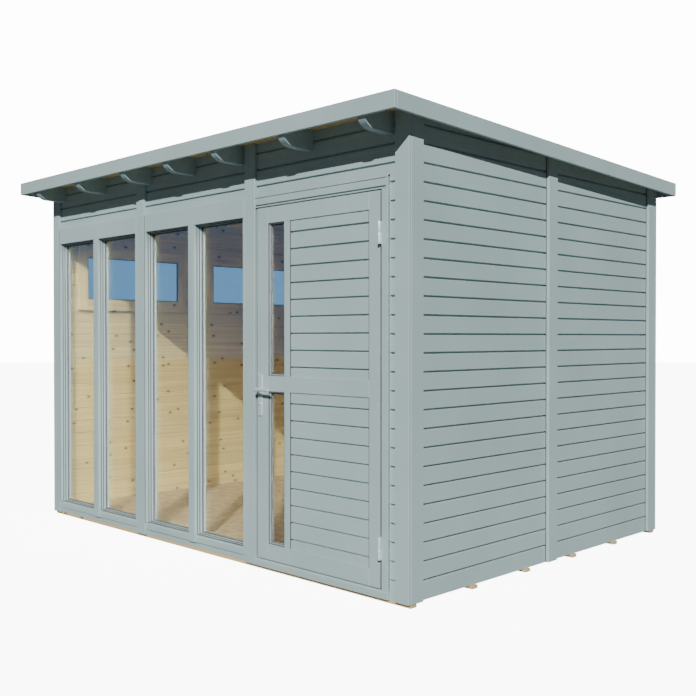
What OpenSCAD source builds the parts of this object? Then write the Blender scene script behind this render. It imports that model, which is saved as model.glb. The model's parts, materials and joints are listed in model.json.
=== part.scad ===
// Garden office pod: a timber cabin with a low mono-pitch roof, a glazed front, a part-glazed
// door that opens outwards, and horizontal tongue-and-groove boarding, on level floor bearers.
//
// Millimetres. The origin is the centre of the roof's plan at ground level. +X runs along the
// front, to the right as seen from outside; +Y runs from the front to the back; +Z is up.

/* [Overall] */
// Width over the corner trims
body_w = 3390; // [3000:10:4200]
// Depth over the corner trims
body_d = 2440; // [2300:10:3200]
// Height of the roof's front edge above the ground
front_h = 2361; // [2290:1:2900]
// How far the roof drops from its front edge to its rear edge
roof_fall = 97; // [40:1:160]
// Roof overhang past the front trims
over_front = 201; // [150:1:300]
// Roof overhang past the rear trims
over_rear = 87; // [40:1:200]
// Roof overhang past the side trims
over_side = 90; // [40:1:200]

/* [Walls] */
// Thickness of the boarding
board_t = 28; // [19:1:44]
// Width of the corner trims and battens
trim_w = 88; // [70:1:110]
// Thickness of the corner trims and battens
trim_t = 18; // [12:1:24]
// Height of the walls' bottom edge above the ground
base_z = 18; // [5:1:25]
// Gap between a wall and a rafter that passes through it
notch_gap = 0.5; // [0.2:0.1:2]
// Gap between a wall's top edge and the roof boards
top_gap = 0.2; // [0.1:0.1:0.8]

/* [Floor] */
// Width of a floor bearer
bearer_w = 45; // [35:1:70]
// Number of floor bearers
bearer_count = 6; // [4:1:9]
// How far the bearers' ends stay inside the trims' faces
bearer_inset = 5; // [0:1:40]
// Thickness of the floor deck
floor_t = 18; // [12:1:28]

/* [Front windows] */
// Depth of a window or door frame behind the trims' faces
frame_d = 86; // [70:1:100]
// Height of a window frame's bottom above the walls' bottom edge
sill_z = 35; // [25:1:60]
// Height of a window's bottom rail
sill_rail = 46; // [35:1:80]
// Height of the frames' top above the walls' bottom edge
head_z = 2020; // [2000:1:2040]
// Height of a window's head rail
head_rail = 108; // [80:1:140]
// Width of a window's middle post
mullion_w = 60; // [50:1:80]
// Width of frame that shows beside a batten
stile_show = 15; // [5:1:25]
// How far a bottom rail stays behind the trims' faces
rail_setback = 10; // [4:1:15]
// Depth of the glass behind the trims' faces
glass_y = 50; // [40:1:60]
// Thickness of a sealed glass unit
glass_t = 14; // [4:1:24]
// Gap between a glass unit and its frame
glass_gap = 0.3; // [0.1:0.1:1]

/* [Side windows] */
// Visible width of a side window's glass
side_glass_w = 815; // [500:5:850]
// Visible height of a side window's glass
side_glass_h = 330; // [250:5:400]
// Height of a side window's centre above the walls' bottom edge
side_window_z = 1685; // [1500:5:1750]
// Distance from the middle of the wall to the centre of a side window
side_window_off = 569; // [540:1:600]
// Width of a side window's frame members
side_frame_w = 72; // [50:1:80]
// How far a side window's frame stands proud of the boards outside
side_frame_out = 10; // [5:1:18]
// How far a side window's frame stands proud of the boards inside
side_frame_in = 24; // [10:1:40]

/* [Door] */
// Clear width between the right-hand batten and the corner trim
door_bay_w = 1030; // [1010:1:1300]
// Width of the door leaf
leaf_w = 923; // [760:1:935]
// Height of the door leaf
leaf_h = 1906; // [1700:1:1925]
// Thickness of the door leaf
leaf_t = 42; // [36:1:44]
// Height of the threshold above the walls' bottom edge
threshold_z = 40; // [30:1:60]
// Clear gap between the leaf and its frame
leaf_gap = 5; // [5:0.5:8]
// How far the leaf's face stays behind the trims' faces
leaf_setback = 6; // [0:1:10]
// Width of frame that shows between the right-hand batten and the leaf's gap
jamb_show = 8; // [4:1:20]
// Face width of the frame on the hinge side
jamb_w = 43; // [30:1:60]
// Width of the stop that the leaf closes against
stop_w = 12; // [8:1:20]
// Gap between the leaf's back and the stops
stop_gap = 5.2; // [5.1:0.1:8]
// Width of the leaf's stile on the lock side, with its bead
lock_stile = 91; // [80:1:120]
// Visible width of the leaf's glass strip
leaf_glass_w = 133; // [100:1:160]
// Width of the stile between the glass strip and the boards
mid_stile = 42; // [35:1:60]
// Width of the leaf's stile on the hinge side
hinge_stile = 79; // [60:1:110]
// Height of the leaf's top rail
top_rail = 87; // [70:1:120]
// Height of the leaf's middle rail
mid_rail = 84; // [70:1:120]
// Height of the middle rail's bottom above the leaf's bottom
mid_rail_z = 912; // [800:1:1000]
// Height of the leaf's bottom rail
bottom_rail = 86; // [70:1:140]
// Thickness of the leaf's boards
leaf_board_t = 20; // [12:1:28]
// How far the leaf's boards stay behind its face
leaf_board_in = 6; // [2:1:12]

/* [Hinges] */
// Outer diameter of a hinge knuckle
knuckle_d = 17; // [12:1:20]
// Overall height of a hinge
hinge_h = 108; // [80:1:140]
// Diameter of a hinge pin
pin_d = 9; // [6:1:10]
// Radial running clearance of a hinge pin
pin_gap = 0.06; // [0.02:0.02:0.1]
// Gap between the two knuckles of a hinge
knuckle_gap = 0.3; // [0.2:0.1:1]
// Thickness of a hinge plate
hinge_plate_t = 2; // [1.5:0.1:2.2]
// Depth of a hinge plate behind the leaf's face
hinge_plate_d = 30; // [20:1:36]
// Height of the lower hinge's centre above the leaf's bottom
low_hinge_z = 195; // [150:1:300]
// Distance from the leaf's top down to the upper hinge's centre
high_hinge_drop = 204; // [150:1:300]

/* [Handle] */
// Width of a handle plate
plate_w = 35; // [28:1:45]
// Height of a handle plate
plate_h = 226; // [180:1:240]
// Thickness of a handle plate
plate_t = 8; // [3:1:10]
// Distance from the leaf's edge to the middle of the handle
backset = 33; // [30:1:60]
// Height of a handle plate's bottom above the leaf's bottom
plate_z = 777; // [600:1:900]
// Height of the lever's axis above the leaf's bottom
lever_z = 921; // [800:1:1000]
// Distance from the lever's axis down to the key cylinder
key_drop = 78; // [60:1:92]
// Diameter of the key cylinder
key_d = 17; // [14:1:20]
// How far the key cylinder stands out of the plate
key_out = 4; // [2:1:8]
// Diameter of the lever's neck
neck_d = 18; // [14:1:22]
// Distance from the plate to the middle of the lever's grip
neck_out = 45; // [35:1:60]
// Diameter of the lever's grip
grip_d = 17; // [12:1:20]
// Distance from the lever's axis to the grip's tip
grip_len = 127; // [100:1:140]
// Diameter of the spindle through the leaf
spindle_d = 10; // [8:1:12]
// Radial clearance of the neck in its plate and of the spindle in the leaf
lever_gap = 0.2; // [0.1:0.1:1]

/* [Roof] */
// Width of a rafter
rafter_w = 45; // [35:1:70]
// Height of a rafter
rafter_h = 105; // [80:1:120]
// Gap between a rafter and the trim or batten beside it
rafter_side_gap = 20; // [10:1:40]
// Length of a rafter tail's straight underside in front of the trims' faces
tail_straight = 115; // [60:1:140]
// Radius of a rafter tail's rounded nose
tail_r = 80; // [70:1:120]
// Thickness of the roof boards
deck_t = 18; // [15:1:24]
// Thickness of the roofing felt
felt_t = 3; // [2:1:6]
// How far the fascias stand above the felt
felt_lip = 5; // [2:1:20]
// Height of the fascias
fascia_h = 83.5; // [70:0.5:120]
// Thickness of the fascias
fascia_t = 18; // [12:1:24]

/* [Hidden] */
$fn = 48;

// Plan of the roof and the body
roof_w = body_w + 2 * over_side;
roof_d = body_d + over_front + over_rear;
roof_front = -roof_d / 2;
roof_rear = roof_d / 2;
x_trim = body_w / 2;                  // outer face of the side trims
y_front = roof_front + over_front;    // outer face of the front trims
y_rear = roof_rear - over_rear;       // outer face of the rear trims
y_mid = (y_front + y_rear) / 2;
x_board = x_trim - trim_t;            // outer face of the side boarding
x_room = x_board - board_t;           // inner face of the side boarding
wall_in = trim_t + board_t;           // trim face to the boarding's inner face

// Front elevation, from left to right
window_w = (body_w - 4 * trim_w - door_bay_w) / 2;
batten_x = [
    -x_trim + trim_w + window_w + trim_w / 2,
    -x_trim + 2 * trim_w + 2 * window_w + trim_w / 2
];
frame_joint = 1;                      // half the joint between two frames behind a batten
frame_bottom = base_z + sill_z;
frame_top = base_z + head_z;
glass_bottom = frame_bottom + sill_rail;
glass_top = frame_top - head_rail;

// Floor: the deck's top is level with the window frames' bottom, so they stand on its edge
floor_top = frame_bottom;
bearer_h = floor_top - floor_t;

// Door
leaf_left = batten_x[1] + trim_w / 2 + jamb_show + leaf_gap;
leaf_right = leaf_left + leaf_w;
leaf_bottom = base_z + threshold_z + leaf_gap;
leaf_top = leaf_bottom + leaf_h;
leaf_face = y_front + leaf_setback;
leaf_back = leaf_face + leaf_t;
jamb_right_x = leaf_right + leaf_gap;
stop_y = leaf_back + stop_gap;
frame_back = y_front + frame_d;
glass_left = leaf_left + lock_stile;
board_left = glass_left + leaf_glass_w + mid_stile;
board_right = leaf_right - hinge_stile;
low_panel = [leaf_bottom + bottom_rail, leaf_bottom + mid_rail_z];
high_panel = [low_panel[1] + mid_rail, leaf_top - top_rail];
leaf_board_gap = 0.3;
leaf_glass_y = leaf_face + (leaf_t - glass_t) / 2;

// Hinge axis: in the middle of the leaf's gap, with the knuckle just in front of the frame
hinge_x = leaf_right + leaf_gap / 2;
knuckle_front_gap = 1;
hinge_y = y_front - knuckle_d / 2 - knuckle_front_gap;
hinge_z = [leaf_bottom + low_hinge_z, leaf_top - high_hinge_drop];
knuckle_h = (hinge_h - knuckle_gap) / 2;
hinge_plate_h = knuckle_h;

// Handle
handle_x = leaf_left + backset;
handle_z = leaf_bottom + lever_z;
plate_bottom = leaf_bottom + plate_z;

// Side windows
side_hole_w = side_glass_w + 2 * side_frame_w;
side_hole_h = side_glass_h + 2 * side_frame_w;
side_window_y = [y_mid - side_window_off, y_mid + side_window_off];
side_glass_depth = side_frame_out + board_t / 2;

// Roof: the fascias' top edge, and the underside of the roof boards, at a depth y
function roof_z(y) = front_h - (y - roof_front) * roof_fall / roof_d;
function felt_z(y) = roof_z(y) - felt_lip;
function deck_z(y) = felt_z(y) - felt_t - deck_t;

// Rafters stand beside the corner trims and the battens, with one halfway between each two
nose_steps = 6;
rafter_off = rafter_side_gap + rafter_w / 2;
rafter_outer = x_trim - trim_w - rafter_off;
rafter_inner = [
    batten_x[0] + trim_w / 2 + rafter_off,
    batten_x[1] - trim_w / 2 - rafter_off
];
rafter_x = [
    -rafter_outer,
    (rafter_inner[0] - rafter_outer) / 2,
    rafter_inner[0],
    (rafter_inner[0] + rafter_inner[1]) / 2,
    rafter_inner[1],
    (rafter_inner[1] + rafter_outer) / 2,
    rafter_outer
];

// Colours
painted = [0.64, 0.70, 0.71];
natural = [0.85, 0.75, 0.55];
soffit = [0.70, 0.50, 0.30];
felt_grey = [0.28, 0.30, 0.31];
glass_tint = [0.75, 0.86, 0.92, 0.35];
steel = [0.80, 0.82, 0.83];

// A box between two corners
module block(low, high) {
    translate(low) cube(high - low);
}

// An outline in the Y-Z plane, extruded along X from x0 to x1
module side_profile(outline, x0, x1) {
    translate([x0, 0, 0]) rotate([90, 0, 90]) linear_extrude(x1 - x0) polygon(outline);
}

// A wall or trim from z0 up to the underside of the roof boards
module up_to_roof(x0, x1, y0, y1, z0) {
    side_profile([[y0, z0], [y1, z0], [y1, deck_z(y1) - top_gap], [y0, deck_z(y0) - top_gap]], x0, x1);
}

// A cylinder along +Y
module y_rod(d, length) {
    rotate([-90, 0, 0]) cylinder(d = d, h = length);
}

// Outline of a rafter: its top follows the roof boards and its front end has a rounded nose
function rafter_outline() =
    let (
        tip = roof_front + fascia_t,
        heel = roof_rear - fascia_t,
        start = y_front - tail_straight,
        reach = start - tip,
        nose = [for (step = [0 : nose_steps])
            let (out = reach * step / nose_steps)
            [start - out, deck_z(start - out) - rafter_h + tail_r - sqrt(tail_r * tail_r - out * out)]]
    )
    concat([[tip, deck_z(tip)], [heel, deck_z(heel)], [heel, deck_z(heel) - rafter_h]], nose);

// The notches that the rafters need in a front or rear wall
module rafter_notches(y0, y1) {
    for (x = rafter_x)
        side_profile(
            [
                [y0 - 1, deck_z(y0 - 1) - rafter_h - notch_gap],
                [y1 + 1, deck_z(y1 + 1) - rafter_h - notch_gap],
                [y1 + 1, deck_z(y1 + 1) + 1],
                [y0 - 1, deck_z(y0 - 1) + 1]
            ],
            x - rafter_w / 2 - notch_gap, x + rafter_w / 2 + notch_gap
        );
}

// Floor
function bearer_y(index) =
    let (first = y_front + trim_t + bearer_w / 2, last = y_rear - trim_t - bearer_w / 2)
    first + (last - first) * index / (bearer_count - 1);

module floor_bearers() color(natural) {
    for (index = [0 : bearer_count - 1]) {
        y = bearer_y(index);
        // the walls stand on the bearers' cut-down ends
        block(
            [-x_trim + bearer_inset, y - bearer_w / 2, 0],
            [x_trim - bearer_inset, y + bearer_w / 2, base_z]
        );
        block(
            [-x_room, max(y - bearer_w / 2, y_front + wall_in), base_z / 2],
            [x_room, min(y + bearer_w / 2, y_rear - wall_in), bearer_h]
        );
    }
}

module floor_deck() color(natural)
    block([-x_room, y_front + wall_in, bearer_h], [x_room, y_rear - wall_in, floor_top]);

// Trims and battens
module corner_trim(right, rear) color(painted)
    mirror([right ? 0 : 1, 0, 0]) {
        face = rear ? [y_rear - trim_t, y_rear] : [y_front, y_front + trim_t];
        edge = rear ? [y_rear - trim_t - trim_w, y_rear - trim_t]
                    : [y_front + trim_t, y_front + trim_t + trim_w];
        up_to_roof(x_trim - trim_w, x_trim, face[0], face[1], base_z);
        up_to_roof(x_board, x_trim, edge[0], edge[1], base_z);
    }

module front_battens() color(painted)
    for (x = batten_x)
        up_to_roof(x - trim_w / 2, x + trim_w / 2, y_front, y_front + trim_t, base_z);

module rear_battens() color(painted)
    for (x = batten_x)
        up_to_roof(x - trim_w / 2, x + trim_w / 2, y_rear - trim_t, y_rear, base_z);

module side_batten(right) color(painted)
    mirror([right ? 0 : 1, 0, 0])
        up_to_roof(x_board, x_trim, y_mid - trim_w / 2, y_mid + trim_w / 2, base_z);

// Front wall
module front_base_board() color(painted)
    block(
        [-x_room, y_front + trim_t, base_z],
        [batten_x[1] - frame_joint, y_front + wall_in, frame_bottom]
    );

// One window: outer edges x0 and x1, and the edges of the trims beside it
module window_frame(x0, x1, trim_left, trim_right) color(painted) {
    middle = (trim_left + trim_right) / 2;
    difference() {
        union() {
            block([x0, y_front + trim_t, frame_bottom], [x1, frame_back, frame_top]);
            block([trim_left, y_front, glass_bottom], [trim_right, y_front + trim_t, frame_top]);
            block(
                [trim_left, y_front + rail_setback, frame_bottom],
                [trim_right, y_front + trim_t, glass_bottom]
            );
            block(
                [middle - mullion_w / 2, y_front, frame_bottom],
                [middle + mullion_w / 2, y_front + trim_t, glass_bottom]
            );
        }
        for (pane = panes(trim_left, trim_right))
            block([pane[0], y_front - 1, glass_bottom], [pane[1], frame_back + 1, glass_top]);
    }
}

// Left and right edges of a window's two panes
function panes(trim_left, trim_right) =
    let (middle = (trim_left + trim_right) / 2)
    [
        [trim_left + stile_show, middle - mullion_w / 2],
        [middle + mullion_w / 2, trim_right - stile_show]
    ];

module window_glass(trim_left, trim_right) color(glass_tint)
    for (pane = panes(trim_left, trim_right))
        block(
            [pane[0] + glass_gap, y_front + glass_y, glass_bottom + glass_gap],
            [pane[1] - glass_gap, y_front + glass_y + glass_t, glass_top - glass_gap]
        );

module window_frame_left()
    window_frame(
        -x_room, batten_x[0] - frame_joint,
        -x_trim + trim_w, batten_x[0] - trim_w / 2
    );

module window_frame_right()
    window_frame(
        batten_x[0] + frame_joint, batten_x[1] - frame_joint,
        batten_x[0] + trim_w / 2, batten_x[1] - trim_w / 2
    );

module window_glass_left()
    window_glass(-x_trim + trim_w, batten_x[0] - trim_w / 2);

module window_glass_right()
    window_glass(batten_x[0] + trim_w / 2, batten_x[1] - trim_w / 2);

module front_header(x0, x1) color(painted)
    difference() {
        up_to_roof(x0, x1, y_front + trim_t, y_front + wall_in, frame_top);
        rafter_notches(y_front + trim_t, y_front + wall_in);
    }

module front_strip_boards() color(painted)
    block(
        [jamb_right_x + jamb_w, y_front + trim_t, base_z],
        [x_room, y_front + wall_in, frame_top]
    );

// Door frame
jamb_left_x = [batten_x[1] + frame_joint, leaf_left - leaf_gap];
jamb_z = [base_z + threshold_z, leaf_top + leaf_gap];

module door_threshold() color(painted) {
    block(
        [jamb_left_x[0], y_front + trim_t, base_z],
        [jamb_right_x + jamb_w, y_front + wall_in, base_z + threshold_z]
    );
    block(
        [jamb_left_x[0], y_front + trim_t, floor_top],
        [jamb_right_x + jamb_w, frame_back, base_z + threshold_z]
    );
    block(
        [batten_x[1] + trim_w / 2, y_front, base_z],
        [jamb_right_x + jamb_w, y_front + trim_t, base_z + threshold_z]
    );
}

module door_head() color(painted) {
    block([jamb_left_x[0], y_front + trim_t, jamb_z[1]], [jamb_right_x + jamb_w, frame_back, frame_top]);
    block(
        [batten_x[1] + trim_w / 2, y_front, jamb_z[1]],
        [jamb_right_x + jamb_w, y_front + trim_t, frame_top]
    );
    block(
        [jamb_left_x[1] + stop_w, stop_y, jamb_z[1] - stop_w],
        [jamb_right_x - stop_w, frame_back, jamb_z[1]]
    );
}

module door_jamb_left() color(painted) {
    block([jamb_left_x[0], y_front + trim_t, jamb_z[0]], [jamb_left_x[1], frame_back, jamb_z[1]]);
    block([jamb_left_x[1], stop_y, jamb_z[0]], [jamb_left_x[1] + stop_w, frame_back, jamb_z[1]]);
}

module door_jamb_right() color(painted) {
    block([jamb_right_x, y_front, jamb_z[0]], [jamb_right_x + jamb_w, frame_back, jamb_z[1]]);
    block([jamb_right_x - stop_w, stop_y, jamb_z[0]], [jamb_right_x, frame_back, jamb_z[1]]);
}

// Hinges: the frame's half carries the pin, and the door's half drops over it
module frame_hinges() color(steel)
    for (z = hinge_z) {
        low = z - hinge_h / 2;
        translate([hinge_x, hinge_y, low]) {
            cylinder(d = knuckle_d, h = knuckle_h);
            cylinder(d = pin_d, h = hinge_h - knuckle_gap);
        }
        block(
            [jamb_right_x - hinge_plate_t, hinge_y, low],
            [jamb_right_x, leaf_face + hinge_plate_d, low + hinge_plate_h]
        );
    }

module door_hinges() color(steel)
    for (z = hinge_z) {
        low = z + knuckle_gap / 2;
        difference() {
            union() {
                translate([hinge_x, hinge_y, low]) cylinder(d = knuckle_d, h = knuckle_h);
                block(
                    [leaf_right, hinge_y, low],
                    [leaf_right + hinge_plate_t, leaf_face + hinge_plate_d, low + hinge_plate_h]
                );
            }
            translate([hinge_x, hinge_y, low - 1])
                cylinder(d = pin_d + 2 * pin_gap, h = knuckle_h + 2);
        }
    }

// Side walls
module side_wall(y0, y1) color(painted) up_to_roof(x_room, x_board, y0, y1, base_z);

module right_wall_front() side_wall(y_front + trim_t, y_mid);
module right_wall_rear() side_wall(y_mid, y_rear - trim_t);

module side_window_holes()
    for (y = side_window_y)
        block(
            [-x_board - 1, y - side_hole_w / 2, base_z + side_window_z - side_hole_h / 2],
            [-x_room + 1, y + side_hole_w / 2, base_z + side_window_z + side_hole_h / 2]
        );

module left_wall(y0, y1) color(painted)
    difference() {
        up_to_roof(-x_board, -x_room, y0, y1, base_z);
        side_window_holes();
    }

module left_wall_front() left_wall(y_front + trim_t, y_mid);
module left_wall_rear() left_wall(y_mid, y_rear - trim_t);

module side_window_frames() color(painted)
    for (y = side_window_y)
        translate([0, y, base_z + side_window_z])
            difference() {
                block(
                    [-x_board - side_frame_out, -side_hole_w / 2, -side_hole_h / 2],
                    [-x_room + side_frame_in, side_hole_w / 2, side_hole_h / 2]
                );
                block(
                    [-x_trim - 1, -side_glass_w / 2, -side_glass_h / 2],
                    [-x_room + side_frame_in + 1, side_glass_w / 2, side_glass_h / 2]
                );
            }

module side_window_glass() color(glass_tint)
    for (y = side_window_y)
        translate([-x_board - side_frame_out + side_glass_depth, y, base_z + side_window_z])
            block(
                [0, -side_glass_w / 2 + glass_gap, -side_glass_h / 2 + glass_gap],
                [glass_t, side_glass_w / 2 - glass_gap, side_glass_h / 2 - glass_gap]
            );

// Rear wall
module rear_wall(x0, x1) color(painted)
    difference() {
        up_to_roof(x0, x1, y_rear - wall_in, y_rear - trim_t, base_z);
        rafter_notches(y_rear - wall_in, y_rear - trim_t);
    }

// Roof
module rafters() color(painted)
    for (x = rafter_x) side_profile(rafter_outline(), x - rafter_w / 2, x + rafter_w / 2);

// A layer of the roof inside the fascias, between an underside and a thickness
module roof_layer(drop, thickness) {
    y0 = roof_front + fascia_t;
    y1 = roof_rear - fascia_t;
    side_profile(
        [
            [y0, roof_z(y0) - drop - thickness], [y1, roof_z(y1) - drop - thickness],
            [y1, roof_z(y1) - drop], [y0, roof_z(y0) - drop]
        ],
        -roof_w / 2 + fascia_t, roof_w / 2 - fascia_t
    );
}

module roof_boards() color(soffit) roof_layer(felt_lip + felt_t, deck_t);
module roof_felt() color(felt_grey) roof_layer(felt_lip, felt_t);

// A fascia: its edges follow the roof's slope
module fascia(x0, x1, y0, y1) color(painted)
    side_profile(
        [[y0, roof_z(y0) - fascia_h], [y1, roof_z(y1) - fascia_h], [y1, roof_z(y1)], [y0, roof_z(y0)]],
        x0, x1
    );

module fascia_front() fascia(-roof_w / 2, roof_w / 2, roof_front, roof_front + fascia_t);
module fascia_rear() fascia(-roof_w / 2, roof_w / 2, roof_rear - fascia_t, roof_rear);
module fascia_left()
    fascia(-roof_w / 2, -roof_w / 2 + fascia_t, roof_front + fascia_t, roof_rear - fascia_t);
module fascia_right()
    fascia(roof_w / 2 - fascia_t, roof_w / 2, roof_front + fascia_t, roof_rear - fascia_t);

// Door leaf
module door_leaf() color(painted)
    difference() {
        block([leaf_left, leaf_face, leaf_bottom], [leaf_right, leaf_back, leaf_top]);
        for (panel = [low_panel, high_panel]) {
            block(
                [glass_left, leaf_face - 1, panel[0]],
                [glass_left + leaf_glass_w, leaf_back + 1, panel[1]]
            );
            block([board_left, leaf_face - 1, panel[0]], [board_right, leaf_back + 1, panel[1]]);
        }
        translate([handle_x, leaf_face - 1, handle_z]) y_rod(spindle_d + 2 * lever_gap, leaf_t + 2);
    }

module door_boards() color(painted)
    for (panel = [low_panel, high_panel])
        block(
            [board_left + leaf_board_gap, leaf_face + leaf_board_in, panel[0] + leaf_board_gap],
            [
                board_right - leaf_board_gap,
                leaf_face + leaf_board_in + leaf_board_t,
                panel[1] - leaf_board_gap
            ]
        );

module door_glass() color(glass_tint)
    for (panel = [low_panel, high_panel])
        block(
            [glass_left + glass_gap, leaf_glass_y, panel[0] + glass_gap],
            [glass_left + leaf_glass_w - glass_gap, leaf_glass_y + glass_t, panel[1] - glass_gap]
        );

// Handle plates, one on each side of the leaf, each with its key cylinder
module handle_plate(y0, key_y0, key_length) {
    difference() {
        block(
            [handle_x - plate_w / 2, y0, plate_bottom],
            [handle_x + plate_w / 2, y0 + plate_t, plate_bottom + plate_h]
        );
        translate([handle_x, y0 - 1, handle_z]) y_rod(neck_d + 2 * lever_gap, plate_t + 2);
    }
    translate([handle_x, key_y0, handle_z - key_drop]) y_rod(key_d, key_length);
}

module handle_plates() color(steel) {
    handle_plate(leaf_face - plate_t, leaf_face - plate_t - key_out, key_out + plate_t / 2);
    handle_plate(leaf_back, leaf_back + plate_t / 2, key_out + plate_t / 2);
}

// Both levers on their spindle; the pair turns as one
module lever_handles() color(steel)
    translate([handle_x, 0, handle_z]) {
        neck = plate_t + neck_out;
        translate([0, leaf_face - neck, 0]) y_rod(neck_d, neck);
        translate([0, leaf_face - 1, 0]) y_rod(spindle_d, leaf_t + 2);
        translate([0, leaf_back, 0]) y_rod(neck_d, neck);
        for (y = [leaf_face - neck, leaf_back + neck])
            translate([0, y, 0]) {
                sphere(d = neck_d);
                rotate([0, 90, 0]) cylinder(d = grip_d, h = grip_len - grip_d / 2);
                translate([grip_len - grip_d / 2, 0, 0]) sphere(d = grip_d);
            }
    }

floor_bearers();
floor_deck();
corner_trim(false, false);  // corner_trim_front_left
corner_trim(true, false);  // corner_trim_front_right
corner_trim(false, true);  // corner_trim_rear_left
corner_trim(true, true);  // corner_trim_rear_right
front_battens();
rear_battens();
side_batten(false);  // side_batten_left
side_batten(true);  // side_batten_right
front_base_board();
window_frame_left();
window_frame_right();
window_glass_left();
window_glass_right();
front_header(-x_room, batten_x[0]);  // front_header_left
front_header(batten_x[0], batten_x[1]);  // front_header_middle
front_header(batten_x[1], x_room);  // front_header_right
front_strip_boards();
door_threshold();
door_head();
door_jamb_left();
door_jamb_right();
frame_hinges();
right_wall_front();
right_wall_rear();
left_wall_front();
left_wall_rear();
side_window_frames();
side_window_glass();
rear_wall(-x_room, batten_x[0]);  // rear_wall_left
rear_wall(batten_x[0], batten_x[1]);  // rear_wall_middle
rear_wall(batten_x[1], x_room);  // rear_wall_right
rafters();
roof_boards();
roof_felt();
fascia_front();
fascia_rear();
fascia_left();
fascia_right();
door_leaf();
door_boards();
door_glass();
door_hinges();
handle_plates();
lever_handles();
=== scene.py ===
"""A timber garden office pod: every visible piece, in metres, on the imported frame."""

import json
import logging
import math
from dataclasses import dataclass, field
from enum import Enum
from typing import Callable, Iterable, Sequence

import bmesh
import bpy
from mathutils import Matrix, Vector


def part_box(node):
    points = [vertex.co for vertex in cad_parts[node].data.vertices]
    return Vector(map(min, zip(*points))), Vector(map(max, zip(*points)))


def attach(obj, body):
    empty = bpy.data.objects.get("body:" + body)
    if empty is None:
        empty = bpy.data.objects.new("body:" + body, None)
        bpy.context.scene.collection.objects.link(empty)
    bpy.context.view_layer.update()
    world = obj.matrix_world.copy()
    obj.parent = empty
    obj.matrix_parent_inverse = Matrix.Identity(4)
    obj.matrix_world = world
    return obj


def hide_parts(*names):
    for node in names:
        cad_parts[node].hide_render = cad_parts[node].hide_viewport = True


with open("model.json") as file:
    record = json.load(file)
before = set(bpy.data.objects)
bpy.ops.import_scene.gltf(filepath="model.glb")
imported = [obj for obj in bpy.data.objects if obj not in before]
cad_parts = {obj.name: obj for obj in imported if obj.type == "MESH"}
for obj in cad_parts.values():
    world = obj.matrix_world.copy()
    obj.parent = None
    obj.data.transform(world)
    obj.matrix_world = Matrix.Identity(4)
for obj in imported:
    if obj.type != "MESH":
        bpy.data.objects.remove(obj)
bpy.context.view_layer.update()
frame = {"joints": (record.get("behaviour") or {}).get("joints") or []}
log = logging.getLogger("garden_pod")

Colour = tuple[float, float, float]
Point = tuple[float, float]


class Axis(Enum):
    """One of the frame's three directions, which a grain or a section follows."""

    X = 0
    Y = 1
    Z = 2


# ---------------------------------------------------------------- finishes


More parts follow.
